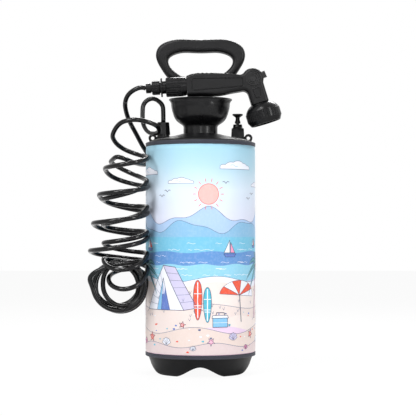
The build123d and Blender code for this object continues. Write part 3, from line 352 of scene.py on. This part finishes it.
def bunchPoints():
    points = []
    perTurn = hose["pointsPerTurn"]
    for step in range(len(bunchTurns[1:]) * perTurn - perTurn // 2 + 1):
        turn, share = divmod(step, perTurn)
        share /= perTurn
        following = bunchTurns[min(turn + 1, len(bunchTurns) - 1)]
        across, up, radius, depth = [a + (b - a) * share for a, b in zip(bunchTurns[turn], following)]
        angle = math.pi + 2 * math.pi * share
        radius *= hose["ringGrow"]
        points.append((
            bunchCentre[0] + across + radius * math.cos(angle),
            depth,
            bunchCentre[1] + up + radius * math.sin(angle),
        ))
    return points


def hoseRoute():
    points = list(outletLead)
    for index, (begin, finish) in enumerate(zip(downCurls, downCurls[1:])):
        side = 1 if index % 2 == 0 else -1
        points += halfTurn(begin, finish, side, hose["downDepth"], hose["downSags"][index % 2], True)
    points += intoBunch + bunchPoints() + outOfBunch
    points.append((upCurls[0][0], hose["lowestDepth"], upCurls[0][1]))
    for index, (begin, finish) in enumerate(zip(upCurls, upCurls[1:])):
        side = -1 if index % 2 == 0 else 1
        points += halfTurn(begin, finish, side, upDepths[index], upSags[index], False)
    return points + wandLead


def splineLine(points):
    curve = bpy.data.curves.new("hoseRoute", "CURVE")
    curve.dimensions = "3D"
    curve.resolution_u = hose["resolution"]
    spline = curve.splines.new("NURBS")
    spline.points.add(len(points) - 1)
    for place, (x, y, z) in zip(spline.points, points):
        place.co = (tankAxisX + x * millimetre, y * millimetre, z * millimetre, 1)
    spline.order_u = hose["order"]
    spline.use_endpoint_u = True
    holder = bpy.data.objects.new("hoseRoute", curve)
    bpy.context.collection.objects.link(holder)
    bpy.context.view_layer.update()
    evaluated = holder.evaluated_get(bpy.context.evaluated_depsgraph_get())
    line = bpy.data.meshes.new_from_object(evaluated)
    walked = [v.co.copy() for v in line.vertices]
    bpy.data.objects.remove(holder)
    kept = [walked[0]]
    for point in walked[1:]:
        if (point - kept[-1]).length > hose["closest"]:
            kept.append(point)
    return kept


def tube(name, line, radius, sides, material, looped=False):
    points, faces = [], []
    ahead = (line[1] - line[0]).normalized()
    across = ahead.orthogonal().normalized()
    for index, place in enumerate(line):
        before = line[index - 1 if looped else max(index - 1, 0)]
        after = line[(index + 1) % len(line) if looped else min(index + 1, len(line) - 1)]
        ahead = (after - before).normalized()
        across = (across - ahead * across.dot(ahead)).normalized()
        upward = ahead.cross(across)
        for side in range(sides):
            angle = 2 * math.pi * side / sides
            points.append(place + radius * (math.cos(angle) * across + math.sin(angle) * upward))
        if index or looped:
            low, high = (index - 1) % len(line) * sides, index * sides
            for side in range(sides):
                following = (side + 1) % sides
                faces.append((low + side, low + following, high + following, high + side))
    if not looped:
        faces.append(tuple(reversed(range(sides))))
        faces.append(tuple(range(len(points) - sides, len(points))))
    made = newMesh(name, points, (), faces)
    made.data.shade_smooth()
    made.data.materials.append(material)
    return made


route = splineLine(hoseRoute())
reach = [0.0]
for here, there in zip(route, route[1:]):
    reach.append(reach[-1] + (there - here).length)
hoseLength = reach[-1]
print("hose length", round(hoseLength, 3), "line points", len(route))

riserStart = hoseLength - hose["riserLength"] * millimetre
riserEnds = [
    riserStart + i * hose["riserLength"] * millimetre / hose["risers"] for i in range(hose["risers"] + 1)
]
cutPlaces = [min(range(len(reach)), key=lambda i: abs(reach[i] - cut)) for cut in [0.0] + riserEnds]
hoseRadius = hose["radius"] * millimetre
mainLine = route[:cutPlaces[1] + 1]
hoseMain = tube("hose_main", mainLine, hoseRadius, hose["sides"], finishes["hose_gloss"])
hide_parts("hose_outlet_lead", "hose_coil", "hose_bunch")
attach(hoseMain, "tank_unit")
for index in range(hose["risers"]):
    line = route[cutPlaces[index + 1]:cutPlaces[index + 2] + 1]
    riser = tube(f"hose_riser_{index + 1}", line, hoseRadius, hose["sides"], finishes["hose_gloss"])
    if index == 0:
        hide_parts("hose_wand_lead")
    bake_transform(riser)
print("hose made")


sleeve = {
    "radius": 94.0,
    "bottom": 37.5,
    "top": 387.5,
    "segments": 288,
    "rows": 40,
    "wall": 3.4,
    "pullIn": 0.5,    # the bindings pull the cloth in
    "pullReach": 9.0,
    "ripple": 0.06,
    "rippleRate": 0.11,
}


def sleeveRadius(height):
    ends = min(height - sleeve["bottom"], sleeve["top"] - height)
    pulled = max(0.0, 1 - ends / sleeve["pullReach"])
    ripple = sleeve["ripple"] * math.sin(height * sleeve["rippleRate"])
    return sleeve["radius"] - sleeve["pullIn"] * pulled * pulled + ripple


span = sleeve["top"] - sleeve["bottom"]
heights = [sleeve["bottom"] + span * row / sleeve["rows"] for row in range(sleeve["rows"] + 1)]
cover = lathed(
    "sleeve_cover", [(sleeveRadius(z), z) for z in heights], sleeve["segments"], finishes["sleeve_print"]
)
coverMap = cover.data.uv_layers.new(name="UVMap")
for loop in cover.data.loops:
    corner = cover.data.vertices[loop.vertex_index].co
    turn = math.atan2(corner.y, corner.x - tankAxisX) / (2 * math.pi)
    coverMap.data[loop.index].uv = (turn % 1, (corner.z / millimetre - sleeve["bottom"]) / span)
thick = cover.modifiers.new("wall", "SOLIDIFY")
thick.thickness = sleeve["wall"] * millimetre
thick.offset = -1
bpy.context.view_layer.objects.active = cover
bpy.ops.object.modifier_apply(modifier="wall")
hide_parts("sleeve")
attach(cover, "tank_unit")

binding = {"inner": 90.3, "outer": 94.5, "height": 7.0, "round": 1.3, "segments": 288}


def bindingProfile(low):
    high = low + binding["height"]
    inner, outer, soft = binding["inner"], binding["outer"], binding["round"]
    return [
        (inner, low + soft), (inner + soft, low), (outer - soft, low + 0.1), (outer - 0.4, low + 0.6),
        (outer, low + soft + 0.5), (outer - 0.15, low + 2.4), (outer - 0.45, low + 3.1),
        (outer - 0.15, low + 3.8),    # the stitching draws in a groove
        (outer, high - soft - 0.5), (outer - 0.4, high - 0.6), (outer - soft, high - 0.1), (inner + soft, high),
        (inner, high - soft), (inner, low + soft),
    ]


for bindingName, low, node in (
    ("sleeve_hem_bottom", sleeve["bottom"] - binding["height"], "sleeve_bottom_binding"),
    ("sleeve_hem_top", sleeve["top"], "sleeve_top_binding"),
):
    hem = lathed(bindingName, bindingProfile(low), binding["segments"], finishes["sleeve_binding"])
    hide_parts(node)
    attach(hem, "tank_unit")
print("sleeve made")


def clipped(corners, edge, keep):
    kept = []
    for here, there in zip(corners, corners[1:] + corners[:1]):
        hereIn, thereIn = keep * (here[0] - edge) >= 0, keep * (there[0] - edge) >= 0
        if hereIn:
            kept.append(here)
        if hereIn != thereIn:
            share = (edge - here[0]) / (there[0] - here[0])
            kept.append((edge, here[1] + share * (there[1] - here[1])))
    return kept


class Ink:
    stripWide = 4.0    # every shape is cut into strips, so that it follows the round sleeve
    closest = 0.02
    smallest = 0.0005
    lowest = 0.08
    layerStep = 0.05

    def __init__(self):
        self.points = []
        self.faces = []
        self.colours = []
        self.count = 0

    def shape(self, outline, colour, layer=1):
        cleaned = [outline[0]]
        for point in outline[1:]:
            if math.dist(point, cleaned[-1]) > self.closest:
                cleaned.append(point)
        if math.dist(cleaned[0], cleaned[-1]) < self.closest:
            cleaned.pop()
        if len(cleaned) < 3:
            return
        self.count += 1
        for corners in tessellate_polygon([[Vector((x, z, 0)) for x, z in cleaned]]):
            lift = self.lowest + self.layerStep * layer
            self.triangle([cleaned[corner] for corner in corners], pigment(colour), lift)

    def triangle(self, corners, colour, lift):
        low, high = min(x for x, z in corners), max(x for x, z in corners)
        strip = math.floor(low / self.stripWide)
        while strip * self.stripWide < high:
            left, right = strip * self.stripWide, (strip + 1) * self.stripWide
            strip += 1
            piece = clipped(clipped(corners, left, 1), right, -1)
            if len(piece) < 3:
                continue
            area = sum(a[0] * b[1] - b[0] * a[1] for a, b in zip(piece, piece[1:] + piece[:1]))
            if abs(area) < self.smallest:
                continue
            if area < 0:
                piece.reverse()
            first = len(self.points)
            self.points += [(x, z, lift) for x, z in piece]
            self.faces.append(tuple(range(first, first + len(piece))))
            self.colours.append(colour)

    def line(self, points, width, colour, layer=4):
        for a, b in zip(points, points[1:]):
            run = math.dist(a, b)
            if run < 0.01:
                continue
            x, z = (b[0] - a[0]) / run, (b[1] - a[1]) / run
            h = width / 2
            ax, az = a[0] - x * h * 0.6, a[1] - z * h * 0.6
            bx, bz = b[0] + x * h * 0.6, b[1] + z * h * 0.6
            self.shape([
                (ax - z * h, az + x * h), (ax + z * h, az - x * h),
                (bx + z * h, bz - x * h), (bx - z * h, bz + x * h),
            ], colour, layer)

    def outlined(self, outline, colour, ink, layer=2, width=0.7):
        self.shape(outline, colour, layer)
        self.line(outline + outline[:1], width, ink, layer + 2)

    def finish(self, name, material):
        placed = []
        for x, z, lift in self.points:
            radius = (sleeveRadius(z) + lift) * millimetre
            angle = x / sleeve["radius"] - math.pi / 2
            placed.append((tankAxisX + radius * math.cos(angle), radius * math.sin(angle), z * millimetre))
        made = newMesh(name, placed, (), self.faces)
        painted = made.data.color_attributes.new("ink", "FLOAT_COLOR", "CORNER")
        for face, colour in zip(made.data.polygons, self.colours):
            for corner in face.loop_indices:
                painted.data[corner].color = (*colour, 1)
        made.data.shade_smooth()
        made.data.materials.append(material)
        return made


def blob(x, z, wide, high, lumps=0, depth=0.0, count=40, turn=0.0):
    return [(
        x + wide * (1 + depth * math.sin(lumps * a + turn)) * math.cos(a),
        z + high * (1 + depth * math.sin(lumps * a + turn)) * math.sin(a),
    ) for a in (2 * math.pi * i / count for i in range(count))]


def cloud(x, z, size):
    top = []
    puffs = ((-1.0, 0.28), (-0.45, 0.5), (0.12, 0.62), (0.62, 0.42), (1.05, 0.25))    # middle and radius
    for across in [i / 24 for i in range(-34, 35)]:
        high = 0
        for middle, radius in puffs:
            inside = radius ** 2 - (across - middle) ** 2
            if inside > 0:
                high = max(high, math.sqrt(inside) + 0.1)
        if high:
            top.append((x + across * size, z + high * size * 0.75))
    return [(top[0][0], z)] + top + [(top[-1][0], z)]


def placed(x, z, wide, tall, corners):
    return [(x + across * wide, z + up * tall) for across, up in corners]


navy = (0.13, 0.17, 0.33)
slate = (0.24, 0.30, 0.50)
periwinkle = (0.36, 0.47, 0.76)
skyBlue = (0.50, 0.74, 0.90)
turquoise = (0.30, 0.70, 0.80)
paleSea = (0.62, 0.84, 0.92)
lilac = (0.80, 0.78, 0.90)
white = (0.93, 0.94, 0.98)
coral = (0.90, 0.32, 0.20)
pink = (0.92, 0.58, 0.72)
rose = (0.86, 0.66, 0.76)
sand = (0.93, 0.88, 0.86)
leaf = (0.20, 0.52, 0.58)
seaside = {
    "round": 590.6,    # way round the sleeve
    "step": 4,
    "foot": 38.2,
    "fine": 0.5,
    "farHills": (0.66, 0.78, 0.92),
    "nearHills": (0.52, 0.72, 0.86),
    "farSea": (0.44, 0.74, 0.86),
    "deepSea": (0.36, 0.56, 0.80),
    "nearSea": (0.55, 0.80, 0.90),
    "sunColour": (0.97, 0.72, 0.70),
    "seam": (0.10, 0.12, 0.2),
    "thread": (0.62, 0.68, 0.8),
    "waveRows": 6,
    "wavesPerRow": 26,
    "sun": (14, 304),
    "sunRadius": 17,
    "sunRays": 14,
    "pebbles": 90,
    "tufts": 60,
    "clouds": (
        (-112, 338, 24), (-34, 322, 18), (66, 346, 26), (128, 318, 16),
        (190, 340, 22), (268, 326, 20), (-200, 330, 22), (-262, 346, 17),
    ),
    "birds": (
        (-70, 300), (-58, 308), (44, 322), (96, 296), (108, 304), (160, 300), (-150, 304), (232, 302),
    ),
    "boats": (
        (-104, 214, 9, coral), (52, 205, 12, pink), (118, 218, 7, coral),
        (186, 208, 10, coral), (-210, 210, 11, pink), (264, 216, 8, coral),
    ),
    "starfish": (
        (-96, 66, 9, coral, 0.3), (18, 60, 7, pink, 0.9), (102, 70, 8, coral, 1.2), (-30, 88, 6, coral, 0.1),
        (180, 62, 9, coral, 0.5), (-200, 64, 8, pink, 0.7), (250, 70, 7, coral, 0.2), (-280, 60, 8, coral, 0.4),
    ),
    "shells": (
        (-60, 58, 8, white), (58, 66, 8, lilac), (134, 58, 7, white), (-124, 56, 7, pink), (-12, 48, 5, white),
        (88, 48, 5, pink), (210, 58, 8, white), (-240, 58, 7, lilac), (-170, 60, 7, white), (284, 54, 6, pink),
    ),
}
halfRound = seaside["round"] / 2
fine = seaside["fine"]


def band(low, high):
    count = round(seaside["round"] / seaside["step"])
    across = [-halfRound + seaside["round"] * i / count for i in range(count + 1)]
    return [(x, low(x)) for x in across] + [(x, high(x)) for x in reversed(across)]


def level(height):
    return lambda x: height


def wave(swing, turns, x, shift):
    return swing * math.sin(2 * math.pi * turns * x / seaside["round"] + shift)


def wavy(height, swing, length, shift=0.0):
    turns = max(1, round(seaside["round"] / length))
    return lambda x: height + wave(swing, turns, x, shift)


def farHills(x):
    return 268 + wave(11, 4, x, 1.1) + wave(5, 9, x, 0)


def nearHills(x):
    return 250 + wave(9, 5, x, 3.0) + wave(3, 11, x, 0)


def ridge(height, layer):
    ink.line([(x, height(x)) for x in range(-295, 297, seaside["step"])], 0.6, slate, layer)


def sailBoat(x, z, size, sail, hull):
    def part(corners, colour):
        ink.outlined(placed(x, z, size, size, corners), colour, navy, 5)

    part(((-1, 0), (1, 0), (0.7, -0.42), (-0.7, -0.42)), hull)
    part(((-0.06, 0.16), (-0.06, 1.9), (-0.95, 0.16)), white)
    part(((0.08, 0.16), (0.08, 1.6), (0.8, 0.16)), sail)


def palm(x, z, tall, lean):
    trunk = [(x + lean * (i / 8) ** 2 * tall * 0.5, z + tall * i / 8) for i in range(9)]
    left = [(px - 2.6 + 0.13 * i, pz) for i, (px, pz) in enumerate(trunk)]
    right = [(px + 2.6 - 0.13 * i, pz) for i, (px, pz) in enumerate(trunk)]
    ink.outlined(left + right[::-1], rose, navy, 5)
    topX, topZ = trunk[-1]
    halfWidths = [0.5, 2.4, 3.6, 4.0, 3.6, 2.8, 1.7, 0.2]
    long = tall * 0.5
    for a in (0.1, 0.75, 1.35, 1.9, 2.5, 3.1, 3.7, -0.5):
        spine = [
            (topX + long * t * math.cos(a), topZ + long * (t * math.sin(a) - 0.62 * t * t))
            for t in [i / 7 for i in range(8)]
        ]
        up = [(px, pz + w) for (px, pz), w in zip(spine, halfWidths)]
        low = [(px, pz - w) for (px, pz), w in zip(spine, halfWidths)]
        ink.outlined(up + low[::-1], leaf, navy, 6, fine)
        ink.line(spine, fine, paleSea, 9)
    for across, up in ((-2.4, -2), (2.2, -2.6), (0.2, -4)):
        ink.outlined(blob(topX + across, topZ + up, 2.3, 2.3, count=14), coral, navy, 8, fine)


def tent(x, z, wide, tall):
    def part(corners, colour, layer, width, more=()):
        ink.outlined(placed(x, z, wide, tall, corners) + list(more), colour, navy, layer, width)

    backFoot = (x + wide * 1.25, z + 4)
    part(((-1, 0), (-0.1, 1), (0.75, 0)), white, 6, 0.9)
    part(((0.75, 0), (-0.1, 1), (0.42, 0.96)), lilac, 6, 0.9, [backFoot])
    part(((-0.42, 0), (-0.1, 0.72), (0.2, 0)), periwinkle, 7, 0.7)
    part(((-0.42, 0), (-0.1, 0.72), (-0.2, 0)), skyBlue, 8, 0.6)
    for i in range(1, 6):
        share = i / 6
        ink.line([
            (x - wide + 0.9 * wide * share, z + tall * share),
            (x - wide * 0.42 + 0.32 * wide * share, z + tall * 0.72 * share),
        ], fine, slate, 9)
        ink.line([
            (x + wide * 0.75 - 0.85 * wide * share, z + tall * share),
            (x + wide * 1.25 - 0.83 * wide * share, z + 4 + (tall * 0.96 - 4) * share),
        ], fine, slate, 9)
    ink.line([(x - wide, z), (x - wide - 9, z - 5)], 0.7, navy, 9)
    ink.line([backFoot, (x + wide * 1.25 + 10, z - 1)], 0.7, navy, 9)


def parasol(x, z, size, tilt):
    topX, topZ = x + tilt * size, z + 2.1 * size
    ink.line([(x, z), (topX, topZ)], 1.4, navy, 6)
    for i in range(6):
        a, b = math.pi * i / 6 - 0.12, math.pi * (i + 1) / 6 - 0.12
        outer = []
        for t in range(5):
            turn = a + (b - a) * t / 4
            outer.append((
                topX + size * 1.5 * math.cos(turn), topZ - 0.4 * size + size * 0.95 * math.sin(turn),
            ))
        ink.outlined(outer + [(topX, topZ - 0.4 * size)], coral if i % 2 else white, navy, 7, 0.6)


def starfish(x, z, size, colour, turn):
    outline = []
    for i in range(10):
        reach = size * (1 if i % 2 == 0 else 0.42)
        angle = turn + math.pi * i / 5
        outline.append((x + reach * math.cos(angle), z + reach * math.sin(angle)))
    ink.outlined(outline, colour, navy, 6, 0.6)
    for i in range(5):
        a = turn + 2 * math.pi * i / 5
        ink.line([(x, z), (x + 0.7 * size * math.cos(a), z + 0.7 * size * math.sin(a))], 0.45, white, 9)


def shell(x, z, size, colour):
    outline = []
    for a in [math.pi * i / 18 for i in range(19)]:
        fluted = 1 + 0.05 * math.cos(8 * a)
        outline.append((x + size * math.cos(a) * fluted, z + size * math.sin(a) * fluted))
    hinge = [(x + side * size * 0.3, z - size * 0.5) for side in (-1, 1)]
    ink.outlined(hinge[:1] + outline[::-1] + hinge[1:], colour, navy, 6, 0.6)
    for i in range(1, 6):
        a = math.pi * i / 6
        rib = (x + size * 0.94 * math.cos(a), z + size * 0.94 * math.sin(a))
        ink.line([(x, z - size * 0.4), rib], 0.45, navy, 9)


def coolBox(x, z, wide, tall, colour):
    ink.outlined(placed(x, z, wide, tall, ((-1, 0), (1, 0), (1, 1), (-1, 1))), colour, navy, 6, 0.8)
    ink.outlined([
        (x - wide - 1.5, z + tall), (x + wide + 1.5, z + tall),
        (x + wide, z + tall * 1.3), (x - wide, z + tall * 1.3),
    ], white, navy, 7, 0.8)
    ink.line(placed(x, z, wide, tall, ((-0.6, 1.3), (-0.5, 1.6), (0.5, 1.6), (0.6, 1.3))), 1.2, navy, 8)
    ink.line(placed(x, z, wide, tall, ((-1, 0.5), (1, 0.5))), 0.6, white, 9)


def board(x, z, wide, tall, colour, stripe):
    outline = [
        (x + wide * math.sin(a) * (1 - 0.18 * math.cos(a)), z + tall / 2 - tall / 2 * math.cos(a))
        for a in [2 * math.pi * i / 30 for i in range(30)]
    ]
    ink.outlined(outline, colour, navy, 7, 0.8)
    ink.line(placed(x, z, wide, tall, ((0, 0.06), (0, 0.94))), 1.6, stripe, 9)
    for share in (0.3, 0.36, 0.66):
        ink.line(placed(x, z, wide, tall, ((-0.85, share), (0.85, share))), 1.1, stripe, 9)


ink = Ink()
draw = random.Random(7)

# hills, sea and shore run right round
ink.shape(band(level(232), farHills), seaside["farHills"], 0)
ridge(farHills, 3)
ink.shape(band(level(232), nearHills), seaside["nearHills"], 1)
ridge(nearHills, 3)
ink.shape(band(level(196), level(233)), seaside["farSea"], 1)
ink.shape(band(wavy(176, 1.5, 60), wavy(208, 1.5, 84)), seaside["deepSea"], 2)
ink.shape(band(wavy(160, 2.0, 98), wavy(187, 1.5, 60, 1.0)), seaside["nearSea"], 3)
shore = wavy(158, 5, 148, 0.4)
ink.shape(band(lambda x: shore(x) - 4, lambda x: shore(x) + 5), white, 4)
ridge(lambda x: shore(x) + 5, 5)
for row in range(seaside["waveRows"]):
    high = 170 + row * 10.5
    for _ in range(seaside["wavesPerRow"]):
        x = draw.uniform(-290, 280)
        long = draw.uniform(6, 16)
        ink.line([
            (x + long * i / 5, high + draw.uniform(-1, 1) * 0.2 + 0.9 * math.sin(i * 1.3)) for i in range(6)
        ], 0.55, white, 5)

# sky
for x, z, size in seaside["clouds"]:
    ink.outlined(cloud(x, z, size), white, slate, 1, 0.6)
    ink.line([
        (x - size * 0.5 + i * size * 0.1, z + size * 0.22 + 0.06 * size * math.sin(i)) for i in range(7)
    ], fine, skyBlue, 4)
sunX, sunZ = seaside["sun"]
sunRadius = seaside["sunRadius"]
ink.outlined(blob(sunX, sunZ, sunRadius, sunRadius), seaside["sunColour"], coral, 1, 0.8)
for ray in range(seaside["sunRays"]):
    a = 2 * math.pi * ray / seaside["sunRays"]
    ink.line([
        (sunX + reach * math.cos(a), sunZ + reach * math.sin(a)) for reach in (sunRadius + 4, sunRadius + 9)
    ], 0.9, coral, 3)
for x, z in seaside["birds"]:
    wings = [(x - 6, z + 2.4), (x - 3.2, z + 3.2), (x, z), (x + 3.2, z + 3.2), (x + 6, z + 2.4)]
    ink.line(wings, 0.8, navy, 3)
for x, z, size, sail in seaside["boats"]:
    sailBoat(x, z, size, sail, periwinkle)

# sand in four soft layers
ink.shape(band(level(seaside["foot"]), lambda x: shore(x) - 3), sand, 1)
for dune, colour, layer, lineLayer in (
    (wavy(118, 5, 200, 1.4), (0.91, 0.85, 0.83), 2, 4),
    (wavy(78, 6, 150, 2.0), (0.89, 0.82, 0.79), 3, 4),
    (wavy(54, 4, 120, 0.3), (0.86, 0.79, 0.79), 4, 5),
):
    ink.shape(band(level(seaside["foot"]), dune), colour, layer)
    ridge(dune, lineLayer)

tent(-62, 112, 46, 74)
parasol(76, 92, 26, -0.18)
coolBox(34, 84, 13, 15, skyBlue)
palm(122, 96, 92, 0.3)
palm(-134, 100, 84, 0.35)
board(-4, 96, 7, 66, coral, white)
board(12, 92, 6.5, 58, turquoise, white)
tent(214, 108, 44, 66)
parasol(-226, 96, 25, 0.2)
palm(272, 98, 88, -0.3)
palm(-262, 100, 80, 0.3)
coolBox(160, 88, 13, 15, pink)
board(-176, 94, 7, 62, periwinkle, white)
for star in seaside["starfish"]:
    starfish(*star)
for scallop in seaside["shells"]:
    shell(*scallop)
for _ in range(seaside["pebbles"]):
    x, z = draw.uniform(-290, 290), draw.uniform(42, 112)
    size = draw.uniform(1.0, 2.6)
    pebble = blob(x, z, size, size * 0.65, 3, 0.1, 12, x)
    ink.shape(pebble, draw.choice((slate, white, periwinkle, coral, turquoise)), 5)
for _ in range(seaside["tufts"]):
    x, z = draw.uniform(-290, 290), draw.uniform(84, 146)
    ink.line([(x, z), (x - 2, z + 4)], fine, slate, 5)
    ink.line([(x, z), (x + 1.6, z + 4.6)], fine, slate, 5)
print("print shapes", ink.count)
picture = ink.finish("sleeve_picture", printInk)
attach(picture, "tank_unit")

# seam down the back of the sleeve
seam = {"half": 4.5, "low": 38.2, "high": 386.8, "stitchSide": 3.2, "stitch": 3.4, "gap": 2.2}
seamInk = Ink()
backPlace = math.pi * sleeve["radius"]
seamInk.shape([
    (backPlace - seam["half"], seam["low"]), (backPlace + seam["half"], seam["low"]),
    (backPlace + seam["half"], seam["high"]), (backPlace - seam["half"], seam["high"]),
], seaside["seam"], 10)
for side in (-seam["stitchSide"], seam["stitchSide"]):
    height = 40.0
    while height < 384:
        stitch = [(backPlace + side, height), (backPlace + side, height + seam["stitch"])]
        seamInk.line(stitch, 0.8, seaside["thread"], 12)
        height += seam["stitch"] + seam["gap"]
backSeam = seamInk.finish("sleeve_seam", printInk)
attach(backSeam, "tank_unit")

wandTrim = {
    "start": (-23.3, -30.5, 488.9),
    "tilt": math.radians(3.0),
    "face": 15.5,
    "bead": 0.75,
    "sides": 8,
    "sunk": 0.2,
    "hubAt": (112.6, 6.1),
    "neckTilt": math.radians(14.0),
    "gripPanel": [(9.0, 11.5), (95.6, 8.2), (95.6, -6.2), (9.0, -9.2)],
    "gripCorner": 4.0,
    "neckPanel": [(-6.5, -17.3), (-5.0, -34.0), (5.0, -34.0), (6.5, -17.3)],
    "neckCorner": 3.5,
    "rings": (12.4, 9.2, 6.0),
    "ringBead": 0.6,
    "ringSunk": 0.1,
    "ringHalf": 20,
}


def onWand(along, up, out):
    startX, startY, startZ = wandTrim["start"]
    tilt = wandTrim["tilt"]
    return Vector((
        tankAxisX + (startX + along * math.cos(tilt) - up * math.sin(tilt)) * millimetre,
        (startY - out) * millimetre,
        (startZ + along * math.sin(tilt) + up * math.cos(tilt)) * millimetre,
    ))


def onNeck(across, along):
    hubAlong, hubUp = wandTrim["hubAt"]
    turn = wandTrim["neckTilt"]
    return (
        hubAlong + across * math.cos(turn) - along * math.sin(turn),
        hubUp + across * math.sin(turn) + along * math.cos(turn),
    )


def rounded(corners, radius, steps=6):
    points = []
    for before, corner, after in zip(corners[-1:] + corners[:-1], corners, corners[1:] + corners[:1]):
        corner = Vector(corner)
        inward = (Vector(before) - corner).normalized() * radius
        outward = (Vector(after) - corner).normalized() * radius
        for step in range(steps + 1):
            share = step / steps
            points.append(corner + inward * (1 - share) ** 2 + outward * share ** 2)
    return points


def bead(name, outline, out, radius):
    line = [onWand(along, up, out) for along, up in outline]
    made = tube(
        name, line, radius * millimetre, wandTrim["sides"], finishes["wand_smooth"], looped=True
    )
    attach(made, "wand")


beadOut = wandTrim["face"] - wandTrim["sunk"]
gripPanel = rounded(wandTrim["gripPanel"], wandTrim["gripCorner"])
bead("grip_panel_bead", gripPanel, beadOut, wandTrim["bead"])
neckPanel = rounded([onNeck(*corner) for corner in wandTrim["neckPanel"]], wandTrim["neckCorner"])
bead("neck_panel_bead", neckPanel, beadOut, wandTrim["bead"])
capFront = -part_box("hub_cap")[0].y / millimetre + wandTrim["start"][1]
hubAlong, hubUp = wandTrim["hubAt"]
for ringNumber, radius in enumerate(wandTrim["rings"]):
    angles = [math.pi * step / wandTrim["ringHalf"] for step in range(2 * wandTrim["ringHalf"])]
    ringLine = [(hubAlong + radius * math.cos(a), hubUp + radius * math.sin(a)) for a in angles]
    bead(f"hub_cap_ring_{ringNumber + 1}", ringLine, capFront - wandTrim["ringSunk"], wandTrim["ringBead"])

spring = {
    "across": 64.0,
    "low": 413.4,
    "high": 423.1,
    "seat": 0.4237,    # height in metres of the face that the coil stays against
    "coil": 5.0,
    "wire": 0.6,
    "sides": 8,
    "turns": 4.5,
    "pointsPerTurn": 20,
    "keep": 0.5,
}
springLine = []
springPoints = round(spring["turns"] * spring["pointsPerTurn"])
for step in range(springPoints + 1):
    angle = 2 * math.pi * step / spring["pointsPerTurn"]
    springLine.append(Vector((
        tankAxisX + (spring["across"] + spring["coil"] * math.cos(angle)) * millimetre,
        spring["coil"] * math.sin(angle) * millimetre,
        (spring["low"] + (spring["high"] - spring["low"]) * step / springPoints) * millimetre,
    )))
valveSpring = tube(
    "relief_coil_spring", springLine, spring["wire"] * millimetre, spring["sides"], finishes["spring_steel"]
)
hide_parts("relief_spring")
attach(valveSpring, "tank_unit")
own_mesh(valveSpring)
print("trim made")

studio = {
    "floorCorners": [(-6, -4, 0), (6, -4, 0), (6, 6, 0), (-6, 6, 0)],
    "floorColour": (0.97, 0.97, 0.97),
    "floorRoughness": 0.9,
    "floorGlow": 0.94,    # share of white that the camera sees over the floor's own shade
    "fill": 0.2,
    "lamps": {
        "keyLight": ((-1.3, -1.6, 1.6), (0, 0, 0.3), (0.6, 1.4), 29),
        "fillLight": ((1.5, -1.4, 1.0), (0, 0, 0.3), (0.35, 1.5), 18),
        "rimLight": ((0.2, 1.2, 1.5), (0, 0, 0.4), (1.2, 0.5), 24),
        "topLight": ((-0.5, -0.9, 2.0), (0, 0, 0.5), (0.3, 0.3), 12),
        "frontLight": ((0.1, -2.6, 0.9), (0, 0, 0.25), (0.5, 0.9), 6),
    },    # place, target, size, power
    "lens": 115.2,
    "sensor": 36,
    "eye": (-0.0088, -2.290, 0.2413),
    "lookAt": (-0.0088, 0, 0.2826),
}
pureWhite = (1, 1, 1, 1)

floorPlane = newMesh("floor", studio["floorCorners"], (), [(0, 1, 2, 3)])
paleFloor = Finish("paleFloor", studio["floorColour"], studio["floorRoughness"])
glow = paleFloor.node("ShaderNodeEmission", {}, {"Color": pureWhite})
seen = paleFloor.node("ShaderNodeLightPath", output="Is Camera Ray") * studio["floorGlow"]
ownShade = Wire(paleFloor, paleFloor.shader.outputs[0])
mixer = paleFloor.node("ShaderNodeMixShader", {}, {0: seen, 1: ownShade, 2: glow})
paleFloor.tree.links.new(mixer.socket, paleFloor.tree.nodes["Material Output"].inputs["Surface"])
floorPlane.data.materials.append(paleFloor.material)

world = bpy.data.worlds.new("studio")
bpy.context.scene.world = world
world.use_nodes = True
sky = world.node_tree
dim = sky.nodes["Background"]
dim.inputs["Color"].default_value = pureWhite
dim.inputs["Strength"].default_value = studio["fill"]
bright = sky.nodes.new("ShaderNodeBackground")
bright.inputs["Color"].default_value = pureWhite
bright.inputs["Strength"].default_value = 1.0
skyRays = sky.nodes.new("ShaderNodeLightPath")
skyMix = sky.nodes.new("ShaderNodeMixShader")
anyRay = skyRays.outputs["Is Camera Ray"]
for rayKind in ("Is Transmission Ray", "Is Glossy Ray"):
    larger = sky.nodes.new("ShaderNodeMath")
    larger.operation = "MAXIMUM"
    sky.links.new(anyRay, larger.inputs[0])
    sky.links.new(skyRays.outputs[rayKind], larger.inputs[1])
    anyRay = larger.outputs[0]
sky.links.new(anyRay, skyMix.inputs[0])
sky.links.new(dim.outputs[0], skyMix.inputs[1])
sky.links.new(bright.outputs[0], skyMix.inputs[2])
sky.links.new(skyMix.outputs[0], sky.nodes["World Output"].inputs["Surface"])


def aimed(holder, place, target):
    bpy.context.collection.objects.link(holder)
    holder.location = place
    holder.rotation_euler = (Vector(target) - Vector(place)).to_track_quat("-Z", "Y").to_euler()


for name, (place, target, size, power) in studio["lamps"].items():
    lamp = bpy.data.lights.new(name, "AREA")
    lamp.shape = "RECTANGLE"
    lamp.size, lamp.size_y = size
    lamp.energy = power
    aimed(bpy.data.objects.new(name, lamp), place, target)

lens = bpy.data.cameras.new("photoCamera")
lens.lens = studio["lens"]
lens.sensor_width = studio["sensor"]
viewer = bpy.data.objects.new("photoCamera", lens)
aimed(viewer, studio["eye"], studio["lookAt"])
bpy.context.scene.camera = viewer
bpy.context.scene.view_settings.view_transform = "Standard"
print("light and camera set")
